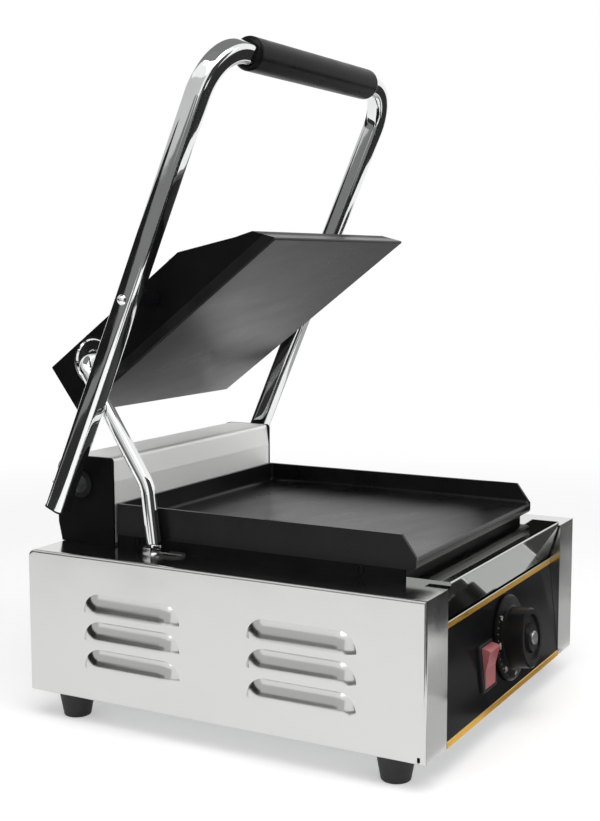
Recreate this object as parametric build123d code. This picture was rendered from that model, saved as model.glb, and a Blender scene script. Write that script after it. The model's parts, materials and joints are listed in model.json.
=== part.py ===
from build123d import *
import os
from math import atan2, cos, degrees, radians, sin, sqrt, tan

# Countertop contact grill, drawn with its lid swung fully open.
# Millimetres. X runs to the right, Y to the back and Z up, from the middle of the base's footprint
# on the table. The base is two folded steel side panels joined by a floor, a rear panel and a tilted
# control panel. It carries a cast griddle pan and, behind that, a box with the hinge shaft.

# Base casing
base_width = 290.0
base_depth = 305.0
panel_height = 102.0
foot_height = 19.0
sheet = 1.0
bend_radius = 2.0
rear_corner_radius = 6.0
deck_flange = 41.0
pillar_width = 33.3
hem_depth = 14.0
rear_flange = 16.0
ledge_depth = 8.0
tray_rise = 12.0
seam_gap = 0.3
relief_setback = 3.5
relief_width = 2.0
relief_height = 5.0

# Louvres pressed out of each side
louvre_length = 79.0
louvre_height = 13.5
louvre_depth = 5.0
louvre_pitch = 19.5
louvre_rows = 3
louvre_low_z = 43.0
louvre_centres = (-66.5, 64.0)

# Vents in the floor and the rear panel
vent_length = 30.0
vent_width = 4.0
floor_vent_pitch = (50.0, 16.0)
rear_vent_pitch = (40.0, 10.0)
rear_vents_x = -45.0
rear_vents_z = 78.0

# Rubber feet and their screws
foot_top_radius = 13.0
foot_bottom_radius = 9.5
foot_side_inset = 18.0
foot_end_inset = 27.5
foot_recess_z = 13.0
screw_radius = 2.0
screw_head_radius = 3.9
screw_head_height = 2.4
small_head_radius = 3.4
small_head_height = 1.8
nut_flats = 7.0
nut_height = 3.2
hole_clearance = 0.15
running_clearance = 0.05

# Control panel and visor
panel_top_z = 94.6
panel_recess = 8.2
panel_wall = 1.2
panel_side_gap = 0.5
panel_box_depth = 12.0
strip_height = 4.2
strip_thickness = 0.5
visor_side_step = 1.0
visor_top_z = 124.5
visor_low_z = 96.5
visor_overhang = 0.5

# Thermostat knob
knob_x = 10.0
knob_z = 59.0
skirt_radius = 30.0
knob_radius = 21.5
knob_depth = 18.0
knob_gap = 0.8
knob_hub_radius = 9.5
cap_radius = 5.0
shaft_radius = 3.0
stat_size = 38.0
stat_depth = 22.0
stat_screw_pitch = 28.0

# Rocker switch
rocker_x = -35.3
rocker_z = 51.0
rocker_width = 18.3
rocker_height = 26.5
rocker_tilt = 13.0
rocker_end_rise = 5.1
rocker_dip = 1.6
rocker_gap = 0.15
rocker_well = 9.5
rocker_pin_radius = 1.5
bezel_width = 25.5
bezel_height = 32.0
bezel_rise = 2.0
switch_width = 22.0
switch_height = 30.4
switch_depth = 20.0
blade_width = 6.3
blade_thickness = 0.8
blade_length = 9.0
blade_side_offset = 5.5
blade_row_offset = 9.0

# Griddle pan and the skirt under it
pan_side_inset = 36.5
pan_front_inset = 23.0
pan_box_gap = 1.0
pan_wall_top_z = 151.5
pan_floor_z = 136.5
pan_bottom_z = 129.3
pan_wall = 2.5
pan_chamfer_run = 10.3
pan_corner_radius = 3.0
skirt_inset = 7.5
skirt_wall = 1.5
skirt_flange = 8.0
lug_size = 8.0
lug_drop = 6.5
front_lug_inset = 39.5
rear_lug_inset = 17.0

# Heating elements, clamps and insulation
element_radius = 3.25
element_pitch = 50.0
element_bend = 24.0
element_down_bend = 9.0
element_tail = 21.0
element_rear_step = 15.0
lower_element_front_inset = 31.5
lower_element_rear_inset = 17.0
contact_gap = 0.05
clamp_width = 20.0
clamp_thickness = 2.0
clamp_end = 7.0
stud_radius = 2.5
stud_nut_flats = 8.0
stud_nut_height = 4.0
lower_stud_side_inset = 17.5
lower_stud_front_inset = 69.5
lower_stud_rear_inset = 62.0
wool_thickness = 11.5
wool_side_gap = 4.5
wool_front_inset = 25.5
wool_rear_inset = 30.0
shield_lip = 2.0
bulb_radius = 3.0
bulb_length = 88.0
bulb_x = -50.0
bulb_front_inset = 61.5
capillary_radius = 0.8

# Hinge box
box_depth = 47.0
box_rear_inset = 2.5
box_top_z = 184.0
box_crease_z = 167.0
box_lean = 1.5
box_front_rounding = 3.0
box_rear_rounding = 12.0
bracket_wall = 2.0
bracket_overhang = 2.0
bed_thickness = 2.0
bracket_foot = 20.0
bracket_foot_inset = 3.0
bracket_bolt_front = 11.0
bracket_bolt_rear = 13.0
cover_screw_x = 80.0
cover_screw_rise = 10.0
hinge_inset = 19.0
hinge_z = 164.0
hinge_shaft_radius = 6.0
spigot_radius = 5.0
bush_radius = 8.0
bush_flange_radius = 10.0
bush_flange = 1.5
spring_outer_radius = 10.5
spring_inner_radius = 6.8
spring_wire_radius = 1.5
spring_length = 78.0
collar_radius = 11.0
collar_length = 16.0

# Lid handle
lid_open_angle = 66.5
arm_inset = 16.0
tube_size = 14.5
tube_wall = 1.2
tube_corner = 3.0
tube_tail = 16.0
handle_reach = 320.5
handle_bend = 33.5
grip_radius = 11.5
grip_length = 180.0
grip_rounding = 4.0
plug_depth = 8.0

# Upper plate
plate_side_inset = 8.5
plate_end_gap = 25.5
plate_open_tilt = 37.0
plate_cast = 8.0
plate_rear_height = 41.0
plate_flat_height = 40.0
plate_flat_inset = 68.0
plate_break_inset = 25.0
plate_break_height = 20.0
plate_nose_inset = 12.0
plate_nose_height = 15.0
cover_wall = 1.2
pivot_reach = 144.3
pivot_along = 103.0
pivot_height = 27.0
pivot_bolt_radius = 2.5
pivot_head_radius = 3.6
pivot_head_height = 2.4
hinge_head_radius = 3.4
hinge_head_height = 3.2
spacer_radius = 6.0
boss_length = 10.5
boss_half_depth = 10.0
boss_rise = 8.0
upper_stud_side_inset = 12.0
upper_stud_rear_inset = 35.0
upper_stud_flat_inset = 13.0
upper_stud_length = 36.0
low_nut_height = 2.9
upper_element_rear_inset = 12.0
upper_element_nose_inset = 26.0
upper_element_tail = 18.0
upper_wool_side_inset = 34.0
upper_wool_rear_inset = 25.0

# Wiring conduit from the base to the upper plate
conduit_radius = 5.25
conduit_wall = 1.0
conduit_side_gap = 15.5
conduit_along = 36.0
conduit_height = 21.4
conduit_elbow = 10.0
conduit_bend = 25.0
conduit_knee_setback = 61.5
conduit_knee_z = 168.0
conduit_foot_lean = 6.7
conduit_foot_length = 40.0
conduit_flange_radius = 17.5
conduit_flange_depth = 2.5
slot_side_gap = 0.6
slot_front_setback = 90.0
slot_rear_setback = 59.5
saddle_setback = 75.0
saddle_height = 8.5
saddle_wall = 1.8
trim_height = 1.2

# Rear fittings
gland_x = 70.0
gland_z = 48.0
gland_radius = 8.0
gland_nut_flats = 22.0
gland_nut_height = 5.0
gland_length = 17.3
gland_neck = 12.0
cord_bore_radius = 4.2
terminal_width = 40.0
terminal_depth = 22.0
terminal_height = 16.0
terminal_pitch = 12.0
terminal_rear_inset = 40.5
terminal_wire_radius = 2.0
terminal_screw_radius = 2.2

rear_screw_heights = (40.0, 100.0)

# Places that follow from the sizes above
half_width = base_width / 2
half_depth = base_depth / 2
foot_x = half_width - foot_side_inset
foot_y = half_depth - foot_end_inset
deck_z = foot_height + panel_height
deck_edge_x = half_width - deck_flange
pillar_edge_x = half_width - pillar_width
rear_screw_x = half_width - rear_flange / 2
floor_z = foot_height + sheet
floor_top_z = floor_z + sheet
panel_half = pillar_edge_x - panel_side_gap
panel_tilt = degrees(atan2(panel_recess, panel_top_z - foot_height))
pan_half = half_width - pan_side_inset
visor_half = pan_half - visor_side_step
box_half = pan_half
bracket_out_x = box_half + bracket_wall
box_rear_y = half_depth - box_rear_inset
box_front_y = box_rear_y - box_depth
bracket_rear_y = box_rear_y + bracket_overhang
hinge_y = box_rear_y - hinge_inset
pan_rear_y = box_front_y - pan_box_gap
pan_front_y = pan_front_inset - half_depth
pan_chamfer_y = pan_front_y + pan_chamfer_run
skirt_front_y = pan_front_y + skirt_inset
lug_places = (pan_front_y + front_lug_inset, pan_rear_y - rear_lug_inset)
lower_studs_x = pan_half - lower_stud_side_inset
lower_studs_y = (pan_front_y + lower_stud_front_inset, pan_rear_y - lower_stud_rear_inset)
lower_element_z = pan_bottom_z - element_radius - contact_gap
lower_clamp_z = lower_element_z - element_radius - contact_gap - clamp_thickness
wool_top_z = lower_clamp_z - 1.2
shield_z = wool_top_z - wool_thickness - sheet
wool_x = lower_studs_x - stud_radius - wool_side_gap
wool_front_y = pan_front_y + wool_front_inset
wool_rear_y = pan_rear_y - wool_rear_inset
arm_centre_x = half_width - arm_inset
arm_inner_x = arm_centre_x - tube_size / 2
arm_outer_x = arm_centre_x + tube_size / 2
plate_half = pan_half - plate_side_inset
plate_length = pan_rear_y - pan_front_y - plate_end_gap
plate_flat_end = plate_length - plate_flat_inset
plate_break = plate_length - plate_break_inset
plate_nose = plate_length - plate_nose_inset
upper_studs_x = plate_half - upper_stud_side_inset
upper_studs_along = (upper_stud_rear_inset, plate_flat_end - upper_stud_flat_inset)
upper_clamp_height = plate_cast + 2 * element_radius + 2 * contact_gap
conduit_x = plate_half + conduit_side_gap
conduit_knee_y = hinge_y - conduit_knee_setback
slot_front_y = hinge_y - slot_front_setback
slot_rear_y = hinge_y - slot_rear_setback
slot_half = conduit_radius + slot_side_gap
saddle_front_y = hinge_y - saddle_setback
face_plane = Plane(
    origin=(0, -half_depth, foot_height),
    x_dir=(1, 0, 0),
    z_dir=(0, -cos(radians(panel_tilt)), sin(radians(panel_tilt))),
)
lid_frame = Pos(0, hinge_y, hinge_z) * Rot(-lid_open_angle, 0, 0)


def on_arm(distance):
    """The (Y, Z) of a point on the open arms, measured from the hinge."""
    angle = radians(lid_open_angle)
    return hinge_y - distance * cos(angle), hinge_z + distance * sin(angle)


def plate_corner():
    """The (Y, Z) of the open upper plate's lower rear edge."""
    tilt = radians(plate_open_tilt)
    y, z = on_arm(pivot_reach)
    y += pivot_along * cos(tilt) - pivot_height * sin(tilt)
    z += -pivot_along * sin(tilt) - pivot_height * cos(tilt)
    return y, z


def on_plate(along, height):
    """The (Y, Z) of a point of the open upper plate, from its lower rear edge."""
    tilt = radians(plate_open_tilt)
    y, z = plate_corner()
    y += -along * cos(tilt) + height * sin(tilt)
    z += along * sin(tilt) + height * cos(tilt)
    return y, z


plate_frame = Pos(0, *plate_corner()) * Rot(-plate_open_tilt, 0, 0)


def block(x0, x1, y0, y1, z0, z1):
    """A block between six planes."""
    centre = Pos((x0 + x1) / 2, (y0 + y1) / 2, (z0 + z1) / 2)
    return centre * Box(x1 - x0, y1 - y0, z1 - z0)


def prism(points, x0, x1):
    """A prism along X over a (Y, Z) outline."""
    return extrude(Plane.YZ.offset(x0) * make_face(Polyline(*points, close=True)), amount=x1 - x0)


def rod(radius, start, end):
    """A round rod between two points."""
    start, end = Vector(*start), Vector(*end)
    along = end - start
    return extrude(Plane(origin=start, z_dir=along) * Circle(radius), amount=along.length)


def shelled(solid, wall, openings):
    """The solid with its inside taken out, open at the given faces."""
    return offset(solid, amount=-wall, openings=openings)


def facing(solid, direction):
    """The solid's outermost flat face in a direction."""
    return solid.faces().sort_by(Axis((0, 0, 0), direction))[-1]


def both_sides(piece):
    """The piece and its mirror image in the middle plane."""
    return [piece, mirror(piece, Plane.YZ)]


def rounded_path(points, radii):
    """A wire through the points with each inner corner rounded to its radius."""
    runs = []
    start = Vector(*points[0])
    for before, corner, after, radius in zip(points, points[1:], points[2:], radii):
        corner = Vector(*corner)
        back = (Vector(*before) - corner).normalized()
        ahead = (Vector(*after) - corner).normalized()
        half = radians(back.get_angle(ahead)) / 2
        first = corner + back * (radius / tan(half))
        last = corner + ahead * (radius / tan(half))
        middle = corner + (back + ahead).normalized() * (radius / sin(half) - radius)
        if (first - start).length > 0.01:
            runs.append(Line(start, first))
        runs.append(ThreePointArc(first, middle, last))
        start = last
    runs.append(Line(start, Vector(*points[-1])))
    return Wire([run.edge() for run in runs])


def swept(section, path, side=(1, 0, 0)):
    """A section swept along a wire from its start."""
    start = Plane(origin=path.position_at(0), x_dir=side, z_dir=path.tangent_at(0))
    return sweep(start * section, path=path)


def hexagon(flats, height):
    """A hexagonal nut blank standing on its own base plane."""
    return extrude(RegularPolygon(flats / sqrt(3), 6), amount=height)


def pan_screw(radius, head_radius, head_height, length):
    """A pan-head screw: its head stands on the base plane and its shank hangs below."""
    head = fillet(Cylinder(head_radius, head_height).edges().sort_by(Axis.Z)[-1], head_height * 0.4)
    slot = Box(head_radius * 1.5, 0.8, 1.6)
    head = Pos(0, 0, head_height / 2) * (head - Pos(0, 0, head_height / 2) * slot)
    return head + Pos(0, 0, -length / 2) * Cylinder(radius, length)


def dome_bolt(radius, head_radius, head_height, length):
    """A smooth domed bolt: its head stands on the base plane and its shank hangs below."""
    sphere = (head_radius ** 2 + head_height ** 2) / (2 * head_height)
    dome = Pos(0, 0, head_height - sphere) * Sphere(sphere)
    head = dome & Pos(0, 0, head_height / 2) * Cylinder(head_radius + 1, head_height)
    return head + Pos(0, 0, -length / 2) * Cylinder(radius, length)


def slots(length, width, rows, columns, pitch):
    """A sketch of round-ended slots in rows and columns."""
    places = GridLocations(*pitch, columns, rows)
    return Sketch() + [place * SlotOverall(length, width) for place in places]


# Base casing


def side_block(inset):
    """The side panel's outline as a block, drawn in by the inset on its five closed faces."""
    outline = Rectangle(base_depth - 2 * inset, panel_height - 2 * inset)
    rear_top = outline.vertices().sort_by(Axis.Y)[-2:].sort_by(Axis.X)[-1]
    outline = fillet(rear_top, rear_corner_radius - inset)
    at = Plane.YZ.offset(deck_edge_x - inset) * Pos(0, foot_height + panel_height / 2)
    solid = extrude(at * outline, amount=half_width - deck_edge_x)
    return fillet(solid.faces().sort_by(Axis.X)[-1].edges(), bend_radius - inset)


def louvre_quarter(radius, run, centre_y, low_z):
    """A quarter turn of a round-ended cylinder lying along Y, for one louvre."""
    cylinder_x = half_width + louvre_depth - louvre_sphere
    outline = Circle(radius) & Pos(radius, 0) * Rectangle(2 * radius, 4 * radius)
    ends = Pos(0, run / 2) * outline + Pos(0, -run / 2) * outline
    profile = ends + Pos(radius / 2, 0) * Rectangle(radius, run)
    profile = Pos(cylinder_x, centre_y, low_z) * profile
    return revolve(profile, Axis((cylinder_x, centre_y, low_z), (0, -1, 0)), revolution_arc=90)


louvre_sphere = (louvre_height ** 2 + louvre_depth ** 2) / (2 * louvre_depth)


def with_louvres(panel):
    """The side panel with its louvres pressed out; each is open along its lower edge."""
    run = louvre_length - 2 * louvre_height
    outside = block(half_width - sheet, half_width + 20, -half_depth, half_depth, 0, 200)
    for centre_y in louvre_centres:
        for row in range(louvre_rows):
            low_z = louvre_low_z + row * louvre_pitch
            outer = louvre_quarter(louvre_sphere, run, centre_y, low_z)
            inner = louvre_quarter(louvre_sphere - sheet, run, centre_y, low_z)
            panel = panel - inner + ((outer - inner) & outside)
    return panel


def side_panel():
    """Right-hand side panel, folded from one sheet with five flanges and a hem."""
    panel = side_block(0) - side_block(sheet)
    low, high = foot_height - 1, deck_z + 1
    panel -= block(0, pillar_edge_x, -half_depth - 1, -half_depth + hem_depth + 2, low, high)
    panel -= block(0, pillar_edge_x, -half_depth - 1, half_depth + 1, low, floor_z)
    rear_top = deck_z - rear_corner_radius
    panel -= block(0, half_width - rear_flange, half_depth - sheet, half_depth + 1, low, rear_top)
    hem_rear = -half_depth + hem_depth
    hem = block(pillar_edge_x, pillar_edge_x + sheet, -half_depth, hem_rear, floor_z, deck_z - sheet)
    front_edge = hem.edges().filter_by(Axis.Z).group_by(Axis.Y)[0].sort_by(Axis.X)[0]
    panel += fillet(front_edge, sheet * 0.6)
    relief = relief_setback - half_depth
    near, top = half_width - 2 * sheet, foot_height + relief_height
    panel -= block(near, half_width + 1, relief, relief + relief_width, low, top)
    panel = with_louvres(panel)
    for y in (-foot_y, foot_y):
        panel -= rod(screw_radius + hole_clearance, (foot_x, y, 0), (foot_x, y, floor_z + 1))
    for z in rear_screw_heights:
        start = (rear_screw_x, half_depth - 2 * sheet, z)
        panel -= rod(screw_radius + hole_clearance, start, (rear_screw_x, half_depth + 1, z))
    return panel


def stadium(side_gap, end_gap, z0, height):
    """A round-ended block over the conduit's slot, larger than it by the gaps."""
    half = slot_half + side_gap
    length = slot_rear_y - slot_front_y + 2 * end_gap
    middle = (slot_rear_y + slot_front_y) / 2
    outline = SlotOverall(length, 2 * half, rotation=90)
    return Pos(-conduit_x, middle, z0) * extrude(outline, amount=height)


def slotted(panel):
    """A left-hand side panel with the slot that the wiring conduit slides in."""
    return panel - stadium(seam_gap, seam_gap, deck_z - 2 * sheet, 4 * sheet)


def base_floor():
    """Floor tray between the side panels, with upturned ends and rows of vents."""
    front = -half_depth + hem_depth + seam_gap
    rear = half_depth - 2 * sheet - seam_gap
    rise = floor_z + tray_rise
    points = [(front, floor_z), (rear, floor_z), (rear, rise), (rear - sheet, rise)]
    points += [(rear - sheet, floor_top_z), (front + sheet, floor_top_z)]
    points += [(front + sheet, rise), (front, rise)]
    half = half_width - bend_radius
    floor = prism(points, -half, half)
    vents = slots(vent_length, vent_width, 6, 3, floor_vent_pitch)
    floor -= Pos(0, 0, floor_z - 1) * extrude(vents, amount=3 * sheet)
    for x in (-foot_x, foot_x):
        for y in (-foot_y, foot_y):
            floor -= rod(screw_radius + hole_clearance, (x, y, 0), (x, y, floor_z + 5))
    return floor


def rear_panel():
    """Rear panel behind the flanges, with vents, a cord hole and a ledge at the top."""
    y0 = half_depth - 2 * sheet
    half = half_width - bend_radius
    top = deck_z - rear_corner_radius - seam_gap
    low = floor_top_z + seam_gap
    panel = block(-half, half, y0, y0 + sheet, low, top)
    ledge = deck_edge_x - seam_gap
    tab = block(-ledge, ledge, y0 - ledge_depth, y0 + sheet, top - 1, deck_z)
    tab -= block(-half, half, y0 - 2 * ledge_depth, y0, 0, deck_z - sheet)
    panel += tab
    vents = Pos(rear_vents_x, rear_vents_z) * slots(vent_length, vent_width, 5, 3, rear_vent_pitch)
    panel -= Pos(0, half_depth + 2, 0) * extrude(Plane.XZ * vents, amount=6)
    panel -= rod(gland_radius + hole_clearance, (gland_x, y0 - 3, gland_z), (gland_x, y0 + 3, gland_z))
    for x in (-rear_screw_x, rear_screw_x):
        for z in rear_screw_heights:
            panel -= rod(screw_radius, (x, y0 - 3, z), (x, y0 + 3, z))
    return panel


def rear_panel_screws():
    """Four screws that hold the rear panel to the side panels' flanges."""
    screw = pan_screw(screw_radius - contact_gap, screw_head_radius, screw_head_height, 8.0)
    return [
        Pos(x, half_depth, z) * Rot(-90, 0, 0) * screw
        for x in (-rear_screw_x, rear_screw_x)
        for z in rear_screw_heights
    ]


def foot():
    """Tapered rubber foot with a recess for its screw's head."""
    recess = screw_head_radius + 1.0
    hole = screw_radius + hole_clearance
    depth = foot_recess_z
    points = [(hole, foot_height), (foot_top_radius, foot_height), (foot_bottom_radius, 0)]
    points += [(recess, 0), (recess, depth), (hole, depth)]
    profile = Plane.XZ * make_face(Polyline(*points, close=True))
    turned = revolve(profile, Axis.Z)
    return fillet(turned.edges().group_by(Axis.Z)[0].sort_by(SortBy.RADIUS)[-1], 1.5)


def foot_screws():
    """Four screws up through the feet, the flanges and the floor."""
    length = floor_top_z + nut_height + 2.0 - foot_recess_z
    screw = pan_screw(screw_radius, screw_head_radius, screw_head_height, length)
    return [
        Pos(x, y, foot_recess_z) * Rot(180, 0, 0) * screw
        for x in (-foot_x, foot_x)
        for y in (-foot_y, foot_y)
    ]


def foot_nuts():
    """Four nuts on the floor tray, on the feet's screws."""
    nut = hexagon(nut_flats, nut_height) - Cylinder(screw_radius + contact_gap, 20)
    return [Pos(x, y, floor_top_z) * nut for x in (-foot_x, foot_x) for y in (-foot_y, foot_y)]


def front_visor():
    """Folded visor: a deck strip in front of the pan and a face that slopes to the panel."""
    half = visor_half
    front = -half_depth - visor_overhang
    low_y = -half_depth + panel_recess
    rear = skirt_front_y - seam_gap
    step = -half_depth + hem_depth + 1.0
    points = [(rear, visor_top_z), (front, visor_top_z), (low_y, visor_low_z)]
    points += [(step, visor_low_z), (step, deck_z), (rear, deck_z)]
    solid = prism(points, -half, half)
    behind = [face for face in solid.faces() if abs(face.normal_at().Y) > 0.99]
    level = solid.faces().filter_by(Plane.XY)
    below = [face for face in level if abs(face.center().Z - deck_z) < 0.1]
    visor = shelled(solid, sheet, behind + below)
    nose = visor.edges().filter_by(Axis.X).group_by(Axis.Y)[0]
    return fillet(nose, 0.8)


# Control panel and what it carries


def on_face(x, z):
    """A point of the tilted face at a height Z, in the face's own directions."""
    return x, (z - foot_height) / cos(radians(panel_tilt))


def face_cut(outline, depth):
    """A straight cut through the face from in front of it to a depth behind it."""
    return extrude(face_plane.offset(1) * outline, amount=-(depth + 1))


def control_panel():
    """Enamelled panel, folded back on all four edges, with its switch and shaft holes."""
    top_y = -half_depth + panel_recess
    rear_top = top_y + panel_box_depth
    rear_low = -half_depth + panel_box_depth
    points = [(-half_depth, foot_height), (top_y, panel_top_z)]
    points += [(rear_top, panel_top_z), (rear_low, foot_height)]
    solid = prism(points, -panel_half, panel_half)
    panel = shelled(solid, panel_wall, [facing(solid, (0, 1, 0))])
    switch = Rectangle(switch_width + 2 * rocker_gap, switch_height + 2 * rocker_gap)
    panel -= face_cut(Pos(*on_face(rocker_x, rocker_z)) * switch, 5)
    holes = Circle(shaft_radius + 2.0)
    for side in (-1, 1):
        holes += Pos(0, side * stat_screw_pitch / 2) * Circle(screw_radius + hole_clearance)
    return panel - face_cut(Pos(*on_face(knob_x, knob_z)) * holes, 5)


def trim_strip(low_z):
    """Bright strip across the face with a rounded front."""
    low = on_face(0, low_z)[1]
    strip = Pos(0, low + strip_height / 2) * Rectangle(2 * panel_half, strip_height)
    solid = extrude(face_plane * strip, amount=strip_thickness)
    outer = solid.faces().filter_by(face_plane).sort_by(Axis.Y)[0]
    return chamfer(outer.edges().filter_by(Axis.X), strip_thickness * 0.6)


def switch_housing():
    """Rocker switch body with its bezel; pin holes in the sides carry the rocker."""
    centre = Pos(*on_face(rocker_x, rocker_z))
    bezel = extrude(RectangleRounded(bezel_width, bezel_height, 2.0), amount=bezel_rise)
    top = bezel.faces().sort_by(Axis.Z)[-1]
    bezel = fillet(top.edges(), 0.8)
    body = extrude(Rectangle(switch_width, switch_height), amount=-switch_depth)
    wide, high = rocker_width + 4 * rocker_gap, 2 * (rocker_arc + rocker_gap)
    hollow = extrude(Rectangle(wide, high), amount=rocker_well + 5)
    housing = bezel + body - Pos(0, 0, -rocker_well) * hollow
    pin_end = rocker_pin_half + 0.2
    pin = rod(rocker_pin_radius + running_clearance, (-pin_end, 0, 0), (pin_end, 0, 0))
    return face_plane * centre * (housing - pin)


rocker_arc = sqrt((rocker_height / 2) ** 2 + rocker_end_rise ** 2)
rocker_pin_half = rocker_width / 2 + 1.2


def rocker():
    """Red rocker with a dished two-facet face, tilted about its pins."""
    half = rocker_height / 2
    foot_half = sqrt(rocker_arc ** 2 - 5.5 ** 2)
    points = [(-half, rocker_end_rise), (0, rocker_end_rise - rocker_dip), (half, rocker_end_rise)]
    face = make_face(
        [
            Polyline(*points),
            ThreePointArc((half, rocker_end_rise), (rocker_arc, 0), (foot_half, -5.5)),
            Line((foot_half, -5.5), (-foot_half, -5.5)),
            ThreePointArc((-foot_half, -5.5), (-rocker_arc, 0), (-half, rocker_end_rise)),
        ]
    )
    wide = rocker_width
    solid = extrude(Plane.YZ.offset(-wide / 2) * face, amount=wide)
    ends = [edge for edge in solid.edges().filter_by(Axis.X) if edge.center().Z > 4.5]
    solid = fillet(ends, 0.7)
    solid += rod(rocker_pin_radius, (-rocker_pin_half, 0, 0), (rocker_pin_half, 0, 0))
    return face_plane * Pos(*on_face(rocker_x, rocker_z)) * Rot(rocker_tilt, 0, 0) * solid


def switch_blades():
    """Four brass push-on blades behind the switch."""
    blade = extrude(Rectangle(blade_width, blade_thickness), amount=-blade_length)
    centre = Pos(*on_face(rocker_x, rocker_z))
    return [
        face_plane * centre * Pos(x, y, -switch_depth) * blade
        for x in (-blade_side_offset, blade_side_offset)
        for y in (-blade_row_offset, blade_row_offset)
    ]


def knob():
    """Turned thermostat knob: a wide skirt for the scale, a deep rim and a raised hub."""
    rim, skirt, hub = knob_radius, skirt_radius, knob_hub_radius
    front, back = knob_depth, knob_gap
    dish = front - 1.5
    points = [(0, front + 0.7), (hub, front + 0.7), (hub + 1, dish), (rim - 6, dish), (rim - 5, front)]
    points += [(rim - 1.7, front), (rim - 0.7, front - 1), (rim, back + 4.2), (rim + 1, back + 3.4)]
    points += [(skirt - 1.5, back + 2.4), (skirt, back + 1.4), (skirt, back), (skirt - 1.5, back)]
    points += [(skirt - 2, back + 1.2), (rim - 0.5, back + 2), (rim - 2.1, back + 3.2)]
    points += [(rim - 2.9, front - 3.3), (6, front - 3.3), (6, back + 1), (0, back + 1)]
    turned = revolve(Plane.XZ * make_face(Polyline(*points, close=True)), Axis.Z)
    bore = extrude(shaft_outline(running_clearance), amount=front - 2.5)
    return face_plane * Pos(*on_face(knob_x, knob_z)) * (turned - bore)


def shaft_outline(gap):
    """The thermostat shaft's D section, larger by the gap."""
    radius = shaft_radius + gap
    flat = Pos(0, radius + shaft_radius * 0.5 + gap) * Rectangle(4 * radius, 2 * radius)
    return Circle(radius) - flat


def knob_cap():
    """Bright domed cap in the middle of the knob."""
    cap = extrude(Circle(cap_radius), amount=1.6)
    cap = fillet(cap.edges().sort_by(Axis.Z)[-1], 1.0)
    return face_plane * Pos(*on_face(knob_x, knob_z)) * Pos(0, 0, knob_depth + 0.7) * cap


def thermostat_shaft():
    """D-shaft from the thermostat into the knob's hub."""
    shaft = extrude(Circle(shaft_radius), amount=6.0)
    shaft += Pos(0, 0, 6) * extrude(shaft_outline(0), amount=knob_depth - 3.0)
    return face_plane * Pos(*on_face(knob_x, knob_z)) * Pos(0, 0, -6) * shaft


def thermostat_body():
    """Capillary thermostat: a square can, its bracket plate and the neck round the shaft."""
    can = extrude(RectangleRounded(stat_size, stat_size, 4.0), amount=-stat_depth)
    plate = extrude(RectangleRounded(26.0, stat_screw_pitch + 12.0, 3.0), amount=1.5)
    neck = extrude(Circle(shaft_radius + 1.8), amount=1.5 + panel_wall)
    body = Pos(0, 0, -panel_wall - 1.5) * (can + plate + neck)
    body -= Pos(0, 0, -6.5) * extrude(Circle(shaft_radius + running_clearance), amount=12)
    for side in (-1, 1):
        hole = extrude(Circle(screw_radius), amount=-9)
        body -= Pos(0, side * stat_screw_pitch / 2) * hole
    return face_plane * Pos(*on_face(knob_x, knob_z)) * body


def thermostat_screws():
    """Two screws from the front, hidden under the knob's skirt."""
    screw = pan_screw(screw_radius - contact_gap, small_head_radius, small_head_height, 7.0)
    centre = Pos(*on_face(knob_x, knob_z))
    return [face_plane * centre * Pos(0, side * stat_screw_pitch / 2) * screw for side in (-1, 1)]


def thermostat_bulb():
    """Sensing bulb held under the pan, with its capillary down to the thermostat."""
    z = pan_bottom_z - bulb_radius - contact_gap
    front, x = pan_front_y + bulb_front_inset, bulb_x
    low = wool_top_z + capillary_radius + 0.7
    bulb = rod(bulb_radius, (x, front, z), (x, front + bulb_length, z))
    down_y = skirt_front_y + 10.5
    stat_z = knob_z + stat_size / 2
    points = [(x, front + 1, z), (x, front - 12, z), (x, front - 18, low), (x, down_y, low)]
    points += [(knob_x, down_y, stat_z + 22), (knob_x, down_y, stat_z - 3.0)]
    path = rounded_path(points, [4, 4, 4, 4])
    return bulb + swept(Circle(capillary_radius), path)


# Griddle pan and the parts under it


def front_edges(pan):
    """The pan's edges across its front plane."""
    edges = pan.edges().filter_by(Axis.X)
    return [edge for edge in edges if abs(edge.center().Y - pan_front_y) < 0.1]


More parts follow.
